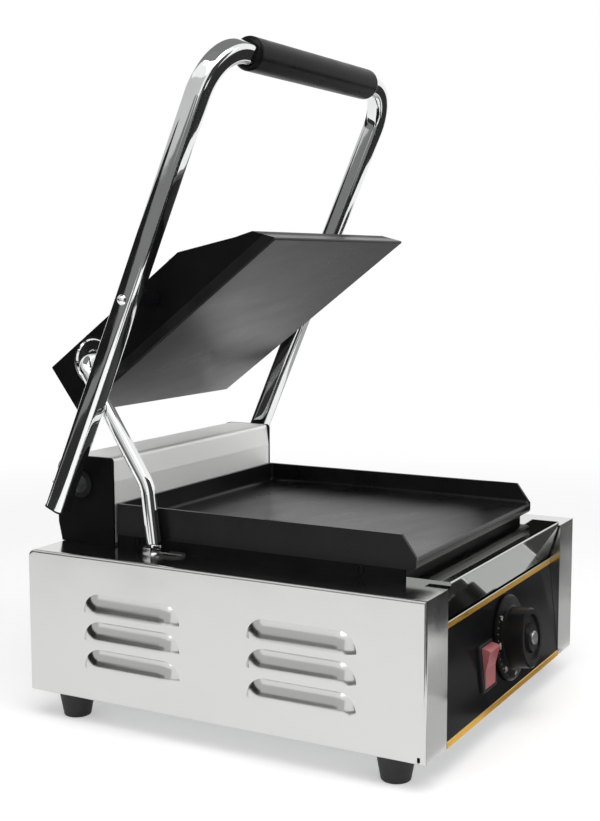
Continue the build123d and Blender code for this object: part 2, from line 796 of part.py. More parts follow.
def griddle_pan():
    """Cast pan: three low walls, an open front with a rounded lip and chamfered wall ends."""
    points = [(pan_rear_y, pan_bottom_z), (pan_rear_y, pan_wall_top_z)]
    points += [(pan_chamfer_y, pan_wall_top_z), (pan_front_y, pan_floor_z + 0.8)]
    points += [(pan_front_y, pan_bottom_z)]
    solid = prism(points, -pan_half, pan_half)
    inner = pan_half - pan_wall
    pocket = block(-inner, inner, pan_front_y - 40, pan_rear_y - pan_wall, pan_floor_z, 200)
    floor_edges = [edge for edge in pocket.edges() if abs(edge.center().Z - pan_floor_z) < 0.1]
    rim_edges = [edge for edge in floor_edges if edge.center().Y > pan_front_y - 30]
    rear_edges = pocket.edges().filter_by(Axis.Z).group_by(Axis.Y)[-1]
    pan = solid - fillet(rim_edges + list(rear_edges), pan_corner_radius)
    low_front = [edge for edge in front_edges(pan) if edge.center().Z < pan_bottom_z + 1]
    pan = fillet(low_front, 3.0)
    lip = [edge for edge in front_edges(pan) if abs(edge.center().Z - pan_floor_z) < 0.1]
    pan = fillet(lip, 2.5)
    outer_rear = pan.edges().filter_by(Axis.Z).group_by(Axis.Y)[-1]
    pan = fillet(outer_rear, 2.0)
    for lug_y in lug_places:
        inside = pan_half - skirt_wall - seam_gap
        x0, low = inside - lug_size, pan_bottom_z - lug_drop
        lug = block(x0, inside, lug_y - lug_size / 2, lug_y + lug_size / 2, low, pan_bottom_z + 1)
        for piece in both_sides(lug):
            pan += piece
    for x in (-1, 1):
        for lug_y in lug_places:
            at = skirt_screw_z()
            pan -= rod(screw_radius, (x * (pan_half - 10.5), lug_y, at), (x * pan_half, lug_y, at))
    return pan


def skirt_screw_z():
    """The height of the screws that hold the pan's lugs to the skirt."""
    return pan_bottom_z - lug_drop / 2


def griddle_skirt():
    """Sheet skirt under the pan: a deep open frame with an inward flange on the deck."""
    outline = block(-pan_half, pan_half, skirt_front_y, pan_rear_y, deck_z, pan_bottom_z)
    outline = fillet(outline.edges().filter_by(Axis.Z), 2.0)
    skirt = outline
    for inset, low in ((skirt_wall, deck_z + skirt_wall), (skirt_flange, 0)):
        side, front, rear = pan_half - inset, skirt_front_y + inset, pan_rear_y - inset
        skirt -= block(-side, side, front, rear, low, 200)
    z = skirt_screw_z()
    for x in (-1, 1):
        for y in lug_places:
            start, end = (x * (pan_half - 3), y, z), (x * (pan_half + 1), y, z)
            skirt -= rod(screw_radius + hole_clearance, start, end)
    return skirt


def skirt_screws():
    """Four screws through the skirt's sides into the pan's lugs."""
    screw = pan_screw(screw_radius - contact_gap, 3.2, 1.2, 8.0)
    placed = [Pos(pan_half, y, skirt_screw_z()) * Rot(0, 90, 0) * screw for y in lug_places]
    return [piece for one in placed for piece in both_sides(one)]


def serpentine(front_y, rear_y, z, tail):
    """Path of a four-run element with both ends turned away from the plate by the tail."""
    runs = [(index - 1.5) * element_pitch for index in range(4)]
    points = [(runs[0], rear_y, z + tail), (runs[0], rear_y, z)]
    radii = [element_down_bend]
    bend_rear = rear_y - element_rear_step
    for index, x in enumerate(runs[:-1]):
        y = front_y if index % 2 == 0 else bend_rear
        points += [(x, y, z), (runs[index + 1], y, z)]
        radii += [element_bend, element_bend]
    points += [(runs[-1], rear_y, z), (runs[-1], rear_y, z + tail)]
    radii += [element_down_bend]
    return rounded_path(points, radii)


def lower_element():
    """Tubular heating element pressed up against the pan."""
    front = pan_front_y + lower_element_front_inset
    rear = pan_rear_y - lower_element_rear_inset
    return swept(Circle(element_radius), serpentine(front, rear, lower_element_z, -element_tail))


def lower_clamp_bars():
    """Two flat bars that press the element up against the pan."""
    half = lower_studs_x + clamp_end
    bars = []
    for y in lower_studs_y:
        low, wide = lower_clamp_z, clamp_width / 2
        bar = block(-half, half, y - wide, y + wide, low, low + clamp_thickness)
        for x in (-lower_studs_x, lower_studs_x):
            bar -= rod(stud_radius + hole_clearance, (x, y, 0), (x, y, 200))
        bars.append(bar)
    return bars


def lower_studs():
    """Four studs under the pan that carry the clamp bars and the heat shield."""
    low = shield_z - stud_nut_height - 2.0
    return [
        rod(stud_radius, (x, y, low), (x, y, pan_bottom_z))
        for x in (-lower_studs_x, lower_studs_x)
        for y in lower_studs_y
    ]


def lower_nuts():
    """Nuts under the clamp bars and under the heat shield."""
    nut = hexagon(stud_nut_flats, stud_nut_height) - Cylinder(stud_radius + contact_gap, 20)
    heights = (lower_clamp_z - stud_nut_height, shield_z - stud_nut_height)
    return [
        Pos(x, y, z) * nut
        for x in (-lower_studs_x, lower_studs_x)
        for y in lower_studs_y
        for z in heights
    ]


def lower_insulation():
    """Mineral wool pad between the element and the heat shield."""
    return block(-wool_x, wool_x, wool_front_y, wool_rear_y, shield_z + sheet, wool_top_z)


def heat_shield():
    """Tray under the mineral wool, hung from the studs."""
    half = lower_studs_x + clamp_end
    front, rear = wool_front_y - shield_lip, wool_rear_y + shield_lip
    tray = block(-half, half, front, rear, shield_z, shield_z + sheet)
    for x in (-lower_studs_x, lower_studs_x):
        for y in lower_studs_y:
            tray -= rod(stud_radius + hole_clearance, (x, y, 0), (x, y, 200))
    return tray


# Hinge box


def hinge_bed():
    """Bed plate across the deck that carries both hinge brackets."""
    half, top = box_half - seam_gap, deck_z + bed_thickness
    bed = block(-half, half, box_front_y + seam_gap, box_rear_y, deck_z, top)
    for x, y in bracket_bolt_places():
        bed -= rod(stud_radius + hole_clearance, (x, y, 0), (x, y, 200))
    return bed


def bracket_bolt_places():
    """Where the bolts go down through the brackets' feet and the bed plate."""
    x = box_half - bracket_foot / 2 - 2.0
    places_y = (box_front_y + bracket_bolt_front, box_rear_y - bracket_bolt_rear)
    return [(side * x, y) for side in (-1, 1) for y in places_y]


def rounded_top(solid):
    """The box's outline with a small rounding at its top front and a large one at its top rear."""
    tops = [edge for edge in solid.edges().filter_by(Axis.X) if edge.center().Z > box_top_z - 1]
    front, rear = ShapeList(tops).sort_by(Axis.Y)
    solid = fillet(front, box_front_rounding)
    rear = [edge for edge in solid.edges().filter_by(Axis.X) if edge.center().Z > box_top_z - 1]
    return fillet(ShapeList(rear).sort_by(Axis.Y)[-1], box_rear_rounding)


def hinge_bracket():
    """Right-hand end plate of the box, with an inward foot and the hinge bush's hole."""
    low = deck_z + seam_gap / 3
    points = [(box_front_y, low), (box_front_y, box_top_z), (bracket_rear_y, box_top_z)]
    points += [(bracket_rear_y, deck_z + 14), (bracket_rear_y - 3, low)]
    plate = prism(points, box_half, bracket_out_x)
    plate = rounded_top(plate)
    foot_low = deck_z + bed_thickness
    front, rear = box_front_y + bracket_foot_inset, box_rear_y - bracket_foot_inset
    inner = box_half - bracket_foot
    bracket = plate + block(inner, box_half, front, rear, foot_low, foot_low + bracket_wall)
    bracket -= rod(bush_radius, (0, hinge_y, hinge_z), (200, hinge_y, hinge_z))
    for x, y in bracket_bolt_places():
        bracket -= rod(stud_radius + hole_clearance, (x, y, 0), (x, y, 160))
    return bracket


def bracket_bolts():
    """Hexagon bolts down through the brackets' feet, with nuts under the bed plate."""
    top = deck_z + bed_thickness + bracket_wall
    bolt = hexagon(stud_nut_flats, 3.5) + Pos(0, 0, -5) * Cylinder(stud_radius, 10)
    nut = hexagon(stud_nut_flats, stud_nut_height) - Cylinder(stud_radius + contact_gap, 20)
    placed = []
    for x, y in bracket_bolt_places():
        placed += [Pos(x, y, top) * bolt, Pos(x, y, deck_z - stud_nut_height) * nut]
    return placed


def hinge_cover():
    """Stainless cover over the springs: front, top and back folded from one sheet."""
    low = deck_z + bed_thickness + seam_gap
    front, rear = box_front_y, box_rear_y
    points = [(front, low), (front, box_crease_z), (front + box_lean, box_top_z)]
    points += [(rear, box_top_z), (rear, low)]
    half = box_half - seam_gap
    solid = prism(points, -half, half)
    solid = rounded_top(solid)
    ends = [facing(solid, (1, 0, 0)), facing(solid, (-1, 0, 0)), facing(solid, (0, 0, -1))]
    cover = shelled(solid, sheet, ends)
    z = low + cover_screw_rise
    for x in (-cover_screw_x, cover_screw_x):
        cover -= rod(screw_radius, (x, rear - 3, z), (x, rear + 3, z))
    return cover


def cover_screws():
    """Two screws in the back of the hinge cover."""
    screw = pan_screw(screw_radius - contact_gap, small_head_radius, small_head_height, 6.0)
    z = deck_z + bed_thickness + seam_gap + cover_screw_rise
    places_x = (-cover_screw_x, cover_screw_x)
    return [Pos(x, box_rear_y, z) * Rot(-90, 0, 0) * screw for x in places_x]


def hinge_bushes():
    """Flanged bushes pressed into the brackets; the hinge shaft turns in them."""
    inner, outer, lip = box_half, bracket_out_x, bracket_out_x + bush_flange
    bush = rod(bush_radius, (inner, hinge_y, hinge_z), (outer, hinge_y, hinge_z))
    bush += rod(bush_flange_radius, (outer, hinge_y, hinge_z), (lip, hinge_y, hinge_z))
    bore = hinge_shaft_radius + running_clearance
    bush -= rod(bore, (0, hinge_y, hinge_z), (200, hinge_y, hinge_z))
    return both_sides(bush)


def torsion_spring(side):
    """One torsion spring's envelope round the shaft, with its leg on the bracket's foot."""
    start = side * (box_half - 5.0)
    end = start - side * spring_length
    spring = rod(spring_outer_radius, (start, hinge_y, hinge_z), (end, hinge_y, hinge_z))
    leg_x = start - side * 2.0
    leg_y = hinge_y - spring_outer_radius + spring_wire_radius + seam_gap
    leg_low = deck_z + bed_thickness + bracket_wall + contact_gap
    spring += rod(spring_wire_radius, (leg_x, leg_y, leg_low), (leg_x, leg_y, hinge_z))
    return spring - rod(spring_inner_radius, (-200, hinge_y, hinge_z), (200, hinge_y, hinge_z))


def spring_collar():
    """Collar on the middle of the shaft that takes the springs' inner ends."""
    half = collar_length / 2
    collar = rod(collar_radius, (-half, hinge_y, hinge_z), (half, hinge_y, hinge_z))
    bore = hinge_shaft_radius + contact_gap
    return collar - rod(bore, (-200, hinge_y, hinge_z), (200, hinge_y, hinge_z))


# Lid handle, drawn level and swung up about the hinge


def handle_path():
    """Centre line of the bent handle tube from one arm's lower end to the other's."""
    x, rear, front = arm_centre_x, tube_tail, -handle_reach
    points = [(-x, rear, 0), (-x, front, 0), (x, front, 0), (x, rear, 0)]
    return rounded_path(points, [handle_bend, handle_bend])


def handle_tube():
    """Square tube bent into the two arms and the bar of the handle."""
    path = handle_path()
    inner_size = tube_size - 2 * tube_wall
    outer = swept(RectangleRounded(tube_size, tube_size, tube_corner), path)
    inner = swept(RectangleRounded(inner_size, inner_size, tube_corner - tube_wall + 0.2), path)
    tube = outer - inner
    for x in (-1, 1):
        inner, middle, outer = x * (arm_inner_x - 1), x * arm_centre_x, x * (arm_outer_x + 1)
        tube -= rod(spigot_radius + running_clearance, (inner, 0, 0), (middle, 0, 0))
        tube -= rod(stud_radius + contact_gap, (middle, 0, 0), (middle, 0, tube_size))
        pivot = pivot_bolt_radius + contact_gap
        tube -= rod(pivot, (inner, -pivot_reach, 0), (outer, -pivot_reach, 0))
    return lid_frame * tube


def handle_grip():
    """Black sleeve over the bar, with rounded ends."""
    half = grip_length / 2
    grip = rod(grip_radius, (-half, -handle_reach, 0), (half, -handle_reach, 0))
    grip = fillet(grip.edges().filter_by(GeomType.CIRCLE), grip_rounding)
    size = tube_size + 2 * contact_gap
    end = Plane(origin=(-half - 1, -handle_reach, 0), z_dir=(1, 0, 0))
    bore = extrude(end * RectangleRounded(size, size, tube_corner), amount=grip_length + 2)
    return lid_frame * (grip - bore)


def tube_end_plugs():
    """Plastic plugs in the arms' cut ends."""
    inner = tube_size - 2 * tube_wall - 2 * contact_gap
    end = Plane(origin=(arm_centre_x, tube_tail, 0), z_dir=(0, 1, 0))
    stem = RectangleRounded(inner, inner, tube_corner - tube_wall + 0.3)
    plug = extrude(end * stem, amount=-plug_depth)
    plug += extrude(end * RectangleRounded(tube_size, tube_size, tube_corner), amount=1.2)
    return [lid_frame * piece for piece in both_sides(plug)]


def hinge_shaft():
    """Shaft through both bushes, turned down at its ends to enter the arms."""
    end = arm_outer_x - tube_wall - 0.3
    shaft = rod(hinge_shaft_radius, (-arm_inner_x, 0, 0), (arm_inner_x, 0, 0))
    shaft += rod(spigot_radius, (-end, 0, 0), (end, 0, 0))
    for x in (-arm_centre_x, arm_centre_x):
        shaft -= rod(stud_radius + contact_gap, (x, 0, -3.5), (x, 0, 10))
    return lid_frame * shaft


def hinge_bolts():
    """Domed bolts through the arms' back faces into the shaft's ends."""
    bolt = dome_bolt(stud_radius, hinge_head_radius, hinge_head_height, tube_size / 2 + 3.0)
    return [lid_frame * Pos(x, 0, tube_size / 2) * bolt for x in (-arm_centre_x, arm_centre_x)]


def pivot_bolts():
    """Domed bolts through the arms that the upper plate tilts on."""
    length = arm_outer_x - boss_inner_x() + nut_height + 1.5
    bolt = dome_bolt(pivot_bolt_radius, pivot_head_radius, pivot_head_height, length)
    placed = Pos(arm_outer_x, -pivot_reach, 0) * Rot(0, 90, 0) * bolt
    return [lid_frame * piece for piece in both_sides(placed)]


def boss_inner_x():
    """The inner end of a pivot boss."""
    return plate_half - cover_wall - seam_gap - boss_length


def pivot_spacers():
    """Sleeves on the pivot bolts between the arms and the plate."""
    start, end = plate_half + seam_gap, arm_inner_x
    sleeve = rod(spacer_radius, (start, -pivot_reach, 0), (end, -pivot_reach, 0))
    sleeve -= rod(pivot_bolt_radius + contact_gap, (0, -pivot_reach, 0), (200, -pivot_reach, 0))
    return [lid_frame * piece for piece in both_sides(sleeve)]


def pivot_nuts():
    """Nuts on the inner ends of the pivot bolts, clear of the bosses."""
    nut = hexagon(stud_nut_flats, nut_height) - Cylinder(pivot_bolt_radius + contact_gap, 20)
    placed = Pos(boss_inner_x() - seam_gap, -pivot_reach, 0) * Rot(0, -90, 0) * nut
    return [lid_frame * piece for piece in both_sides(placed)]


# Upper plate, drawn level from its lower rear edge and tilted up


def plate_prism(points, half):
    """A prism across the plate over points given as (distance from the rear, height)."""
    return prism([(-along, height) for along, height in points], -half, half)


def nose_along(height):
    """How far forward the sloping nose reaches at a height."""
    return plate_length - (plate_length - plate_nose) * height / plate_nose_height


def upper_griddle():
    """Cast upper plate with a smooth underside."""
    points = [(0, 0), (plate_length, 0), (nose_along(plate_cast), plate_cast), (0, plate_cast)]
    solid = plate_prism(points, plate_half)
    return plate_frame * fillet(solid.edges().group_by(Axis.Z)[0], 1.2)


def upper_cover():
    """Black sheet cover over the upper plate's element, sloping down to the nose."""
    low = plate_cast
    points = [(0, low), (nose_along(low), low), (plate_nose, plate_nose_height)]
    points += [(plate_break, plate_break_height), (plate_flat_end, plate_flat_height)]
    points += [(0, plate_rear_height)]
    solid = plate_prism(points, plate_half)
    cover = shelled(solid, cover_wall, [facing(solid, (0, 0, -1))])
    top = [edge for edge in cover.edges() if edge.center().Z > plate_flat_height - 0.6]
    ends = [edge for edge in top if abs(abs(edge.center().X) - plate_half) < 0.1]
    rear = [edge for edge in top if edge.center().Y > -0.1 and edge not in ends]
    cover = fillet(ends + rear, 1.0)
    for x in (-1, 1):
        hole = pivot_bolt_radius + 0.6
        y, z = -pivot_along, pivot_height
        cover -= rod(hole, (x * (plate_half - 3), y, z), (x * (plate_half + 1), y, z))
        stud_x = x * upper_studs_x
        for along in upper_studs_along:
            hole = stud_radius + hole_clearance
            cover -= rod(hole, (stud_x, -along, 30), (stud_x, -along, 60))
    start = (-plate_half - 1, -conduit_along, conduit_height)
    end = (-plate_half + 3, -conduit_along, conduit_height)
    cover -= rod(conduit_radius + hole_clearance, start, end)
    return plate_frame * cover


def upper_element():
    """Tubular heating element on the upper plate's back."""
    z = plate_cast + element_radius + contact_gap
    front = upper_element_nose_inset - plate_length
    path = serpentine(front, -upper_element_rear_inset, z, upper_element_tail)
    return plate_frame * swept(Circle(element_radius), path)


def upper_clamp_bars():
    """Two flat bars that press the upper element onto the plate."""
    half = upper_studs_x + clamp_end
    bars = []
    for along in upper_studs_along:
        low, wide = upper_clamp_height, clamp_width / 2
        bar = block(-half, half, -along - wide, -along + wide, low, low + clamp_thickness)
        for x in (-upper_studs_x, upper_studs_x):
            bar -= rod(stud_radius + hole_clearance, (x, -along, 0), (x, -along, 60))
        bars.append(plate_frame * bar)
    return bars


def upper_studs():
    """Four studs from the upper plate through the clamp bars and the cover."""
    top = plate_cast + upper_stud_length
    return [
        plate_frame * rod(stud_radius, (x, -along, plate_cast), (x, -along, top))
        for x in (-upper_studs_x, upper_studs_x)
        for along in upper_studs_along
    ]


def cover_top(along):
    """The cover's outer height over its gently sloping rear part."""
    fall = (plate_rear_height - plate_flat_height) * along / plate_flat_end
    return plate_rear_height - fall


def upper_nuts():
    """Nuts on the clamp bars and low nuts on top of the cover."""
    bore = Cylinder(stud_radius + contact_gap, 20)
    nut = hexagon(stud_nut_flats, stud_nut_height) - bore
    low_nut = hexagon(stud_nut_flats, low_nut_height) - bore
    clamp_seat = upper_clamp_height + clamp_thickness
    placed = []
    for x in (-upper_studs_x, upper_studs_x):
        for along in upper_studs_along:
            cover_seat = cover_top(along) + 0.1
            placed += [plate_frame * Pos(x, -along, clamp_seat) * nut]
            placed += [plate_frame * Pos(x, -along, cover_seat) * low_nut]
    return placed


def upper_insulation():
    """Mineral wool pad over the upper element."""
    low = upper_clamp_height + clamp_thickness + 1.0
    high = plate_flat_height - cover_wall - 2.0
    half = plate_half - upper_wool_side_inset
    front, rear = -plate_flat_end + 2, -upper_wool_rear_inset
    return plate_frame * block(-half, half, front, rear, low, high)


def pivot_bosses():
    """Steel blocks on the upper plate that turn on the pivot bolts."""
    inner, outer = boss_inner_x(), plate_half - cover_wall - seam_gap
    deep = boss_half_depth
    front, rear = -pivot_along - deep, -pivot_along + deep
    boss = block(inner, outer, front, rear, plate_cast, pivot_height + boss_rise)
    top = [edge for edge in boss.edges().filter_by(Axis.X) if edge.center().Z > pivot_height]
    boss = fillet(top, 7.0)
    bore = pivot_bolt_radius + running_clearance
    boss -= rod(bore, (0, -pivot_along, pivot_height), (200, -pivot_along, pivot_height))
    return [plate_frame * piece for piece in both_sides(boss)]


def conduit_tube():
    """Bent wiring tube: it leaves the plate's side, turns down and enters the base's slot."""
    start = on_plate(conduit_along, conduit_height)
    lean = radians(conduit_foot_lean)
    foot_y = conduit_knee_y - conduit_foot_length * sin(lean)
    foot_z = conduit_knee_z - conduit_foot_length * cos(lean)
    points = [(-plate_half + 4, *start), (-conduit_x, *start)]
    points += [(-conduit_x, conduit_knee_y, conduit_knee_z), (-conduit_x, foot_y, foot_z)]
    path = rounded_path(points, [conduit_elbow, conduit_bend])
    outer = swept(Circle(conduit_radius), path, (0, 1, 0))
    return outer - swept(Circle(conduit_radius - conduit_wall), path, (0, 1, 0))


def conduit_flange():
    """Round flange where the conduit enters the plate's side, with a thin raised rim."""
    radius, depth = conduit_flange_radius, conduit_flange_depth
    bore = conduit_radius + contact_gap
    points = [(bore, 0), (radius, 0), (radius, depth), (radius - 1.6, depth)]
    points += [(radius - 2.6, depth - 1.2), (bore + 3, depth - 1.2), (bore + 2, depth), (bore, depth)]
    turned = revolve(Plane.XZ * make_face(Polyline(*points, close=True)), Axis.Z)
    at = Pos(-plate_half, -conduit_along, conduit_height)
    return plate_frame * at * Rot(0, -90, 0) * turned


def conduit_saddle():
    """Bright U-shaped collar at the slot's rear end that the open lid's conduit rests in."""
    side = saddle_wall - 0.6
    around = stadium(side, saddle_wall, deck_z, saddle_height)
    behind = block(-200, 0, saddle_front_y, 200, 0, 300)
    outer = Pos(-0.55, 0, 0) * around & behind
    return outer - stadium(0, 0, deck_z - 1, saddle_height + 2)


def slot_trim():
    """Low rubber edge round the rest of the conduit's slot."""
    ring = stadium(1.0, 1.0, deck_z, trim_height) - stadium(0, 0, deck_z - 1, trim_height + 2)
    return ring & block(-200, 0, -200, saddle_front_y - seam_gap, 0, 300)


# Electrical fittings


def terminal_block():
    """Ceramic terminal block on the floor tray."""
    left, right = gland_x - terminal_width / 2, gland_x + terminal_width / 2
    rear = half_depth - terminal_rear_inset
    front, middle = rear - terminal_depth, rear - terminal_depth / 2
    top, wire_z = floor_top_z + terminal_height, floor_top_z + 6
    body = block(left, right, front, rear, floor_top_z, top)
    for index in (-1, 0, 1):
        x = gland_x + index * terminal_pitch
        body -= rod(terminal_screw_radius, (x, middle, wire_z + 3), (x, middle, top + 1))
        body -= rod(terminal_wire_radius, (x, front - 1, wire_z), (x, rear + 1, wire_z))
    return body


def cord_gland():
    """Cord gland through the rear panel: a ribbed dome outside and a threaded neck."""
    y0 = half_depth - sheet
    collar = hexagon(gland_nut_flats, 4.0)
    points = [(0, 4), (gland_radius + 2.5, 4), (gland_radius + 1.5, gland_length - 3)]
    points += [(gland_radius - 1.5, gland_length), (0, gland_length)]
    dome = revolve(Plane.XZ * make_face(Polyline(*points, close=True)), Axis.Z)
    neck = Pos(0, 0, -gland_neck / 2) * Cylinder(gland_radius, gland_neck)
    gland = collar + dome + neck - Cylinder(cord_bore_radius, 60)
    return Pos(gland_x, y0, gland_z) * Rot(-90, 0, 0) * gland


def gland_nut():
    """Nut that holds the gland from inside the rear panel."""
    nut = hexagon(gland_nut_flats, gland_nut_height) - Cylinder(gland_radius + contact_gap, 30)
    return Pos(gland_x, half_depth - 2 * sheet, gland_z) * Rot(90, 0, 0) * nut


right_panel = side_panel()
right_bracket = hinge_bracket()
nodes = {
    "side_panel_left": slotted(mirror(right_panel, Plane.YZ)),
    "side_panel_right": right_panel,
    "base_floor": base_floor(),
    "rear_panel": rear_panel(),
    "casing_screws": rear_panel_screws() + cover_screws() + thermostat_screws(),
    "foot_fasteners": foot_screws() + foot_nuts(),
    "front_visor": front_visor(),
    "control_panel": control_panel(),
    "trim_strip_upper": trim_strip(panel_top_z - strip_height * cos(radians(panel_tilt))),
    "trim_strip_lower": trim_strip(foot_height),
    "switch_housing": switch_housing(),
    "switch_blades": switch_blades(),
    "rocker": rocker(),
    "knob": knob(),
    "knob_cap": knob_cap(),
    "thermostat_shaft": thermostat_shaft(),
    "thermostat_body": thermostat_body(),
    "thermostat_bulb": thermostat_bulb(),
    "griddle_pan": griddle_pan(),
    "griddle_skirt": griddle_skirt(),
    "pan_screws": skirt_screws(),
    "lower_element": lower_element(),
    "lower_clamp_bars": lower_clamp_bars(),
    "lower_clamp_fasteners": lower_studs() + lower_nuts(),
    "lower_insulation": lower_insulation(),
    "heat_shield": heat_shield(),
    "hinge_bed": hinge_bed(),
    "hinge_bracket_right": right_bracket,
    "hinge_bracket_left": mirror(right_bracket, Plane.YZ),
    "bracket_bolts": bracket_bolts(),
    "hinge_cover": hinge_cover(),
    "hinge_bushes": hinge_bushes(),
    "spring_collar": spring_collar(),
    "handle_tube": handle_tube(),
    "handle_grip": handle_grip(),
    "tube_end_plugs": tube_end_plugs(),
    "hinge_shaft": hinge_shaft(),
    "hinge_bolts": hinge_bolts(),
    "pivot_bolts": pivot_bolts() + pivot_nuts(),
    "pivot_spacers": pivot_spacers(),
    "upper_griddle": upper_griddle(),
    "upper_cover": upper_cover(),
    "upper_element": upper_element(),
    "upper_clamp_bars": upper_clamp_bars(),
    "upper_clamp_fasteners": upper_studs() + upper_nuts(),
    "upper_insulation": upper_insulation(),
    "pivot_bosses": pivot_bosses(),
    "conduit_tube": conduit_tube(),
    "conduit_flange": conduit_flange(),
    "conduit_saddle": conduit_saddle(),
    "slot_trim": slot_trim(),
    "terminal_block": terminal_block(),
    "cord_gland": cord_gland(),
    "gland_nut": gland_nut(),
}
for side, name in ((-1, "left"), (1, "right")):
    nodes["torsion_spring_" + name] = torsion_spring(side)
    for end, place in ((-1, "front"), (1, "rear")):
        nodes[f"foot_{place}_{name}"] = Pos(side * foot_x, end * foot_y, 0) * foot()

os.makedirs("parts", exist_ok=True)
for name, shape in nodes.items():
    if isinstance(shape, list):
        shape = Compound(children=[Compound(piece.solids()) for piece in shape])
    export_step(shape, f"parts/{name}.step")
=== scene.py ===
# %% [markdown]
# # A countertop contact grill
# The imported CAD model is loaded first. Its metal work already has the right shapes, so this script
# gives each part its real finish, adds the small pieces that CAD leaves plain, and sets a plain
# studio round it. Everything is in metres, in the same frame as the CAD.

# %% Load the frame
import json
import math

import bmesh
import bpy
from mathutils import Matrix, Vector, noise


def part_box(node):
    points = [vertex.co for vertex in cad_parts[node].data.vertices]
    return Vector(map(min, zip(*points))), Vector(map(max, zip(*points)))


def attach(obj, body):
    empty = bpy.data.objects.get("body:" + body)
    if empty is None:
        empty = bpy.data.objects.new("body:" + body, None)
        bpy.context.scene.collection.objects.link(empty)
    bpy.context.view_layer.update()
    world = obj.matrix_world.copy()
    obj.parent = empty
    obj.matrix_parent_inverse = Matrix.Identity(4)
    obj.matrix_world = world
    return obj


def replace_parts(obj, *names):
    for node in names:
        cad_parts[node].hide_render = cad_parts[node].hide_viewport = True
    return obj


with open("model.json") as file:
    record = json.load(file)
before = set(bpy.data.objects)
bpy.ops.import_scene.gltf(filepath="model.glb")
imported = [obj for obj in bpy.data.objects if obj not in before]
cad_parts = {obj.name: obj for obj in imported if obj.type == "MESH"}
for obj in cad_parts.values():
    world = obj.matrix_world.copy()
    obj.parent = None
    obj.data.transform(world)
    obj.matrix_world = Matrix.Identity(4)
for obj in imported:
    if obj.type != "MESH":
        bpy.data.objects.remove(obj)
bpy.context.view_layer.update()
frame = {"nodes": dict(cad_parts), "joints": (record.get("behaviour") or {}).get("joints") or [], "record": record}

scene = bpy.context.scene
mm = 0.001

# %% [markdown]
# The camera stands at the front left, a little above the pan. It could be moved about until the
# picture looks right, but its place and heading were worked out from the straight edges of the base,
# the pan and the hinge box in the photograph, so the render lies over it edge by edge. The picture
# is taller than it is wide, so the sensor's size spans its height.

# %% Camera
camera_place = Vector((-0.8446, -0.4515, 0.3215))
camera_yaw = math.radians(61.2)
camera_pitch = math.radians(6.5)
camera_roll = math.radians(-0.1)
focal_pixels = 1307.4
picture_height = 821
sensor = 36.0
nearest_view, farthest_view = 10 * mm, 50.0


def camera_turn(yaw, pitch, roll):
    """The camera's rotation for a heading measured from +Y, a downward pitch and a roll."""
    ahead = Vector((math.sin(yaw) * math.cos(pitch), math.cos(yaw) * math.cos(pitch), -math.sin(pitch)))
    side = Vector((math.cos(yaw), -math.sin(yaw), 0))
    up = side.cross(ahead)
    right = side * math.cos(roll) + up * math.sin(roll)
    above = up * math.cos(roll) - side * math.sin(roll)
    return Matrix((right, above, -ahead)).transposed().to_4x4()


camera_data = bpy.data.cameras.new("camera")
camera_data.sensor_width = sensor
camera_data.lens = focal_pixels * sensor / picture_height
camera_data.clip_start = nearest_view
camera_data.clip_end = farthest_view
camera = bpy.data.objects.new("camera", camera_data)
camera.matrix_world = Matrix.Translation(camera_place) @ camera_turn(camera_yaw, camera_pitch, camera_roll)
scene.collection.objects.link(camera)
scene.camera = camera
scene.view_settings.view_transform = "Standard"
print("lens", round(camera_data.lens, 2), "mm")

# %% [markdown]
# Shader trees can be wired node by node, but they are easier to read as sums. A small class wraps
# one output of a node, and Python's operators on it add the Math nodes.


# %% A value in a shader tree
class Value:
    """One output in a shader tree. Operators on it add Math nodes."""

    def __init__(self, finish, socket):
        self.finish = finish
        self.socket = socket

    def math(self, operation, *values):
        return self.finish.add("Math", {"operation": operation}, dict(enumerate(values)))

    def __add__(self, other):
        return self.math("ADD", self, other)

    def __mul__(self, other):
        return self.math("MULTIPLY", self, other)

    __radd__ = __add__
    __rmul__ = __mul__


print("shader values can be added and multiplied")

# %% [markdown]
# Each finish is one material round a Principled shader, laid on object coordinates in metres. One
# method adds any other node, and a few more keep the nodes that the finishes share: noise, a range,
# a blend and a bump. So a finish reads as a list of what changes over its surface.


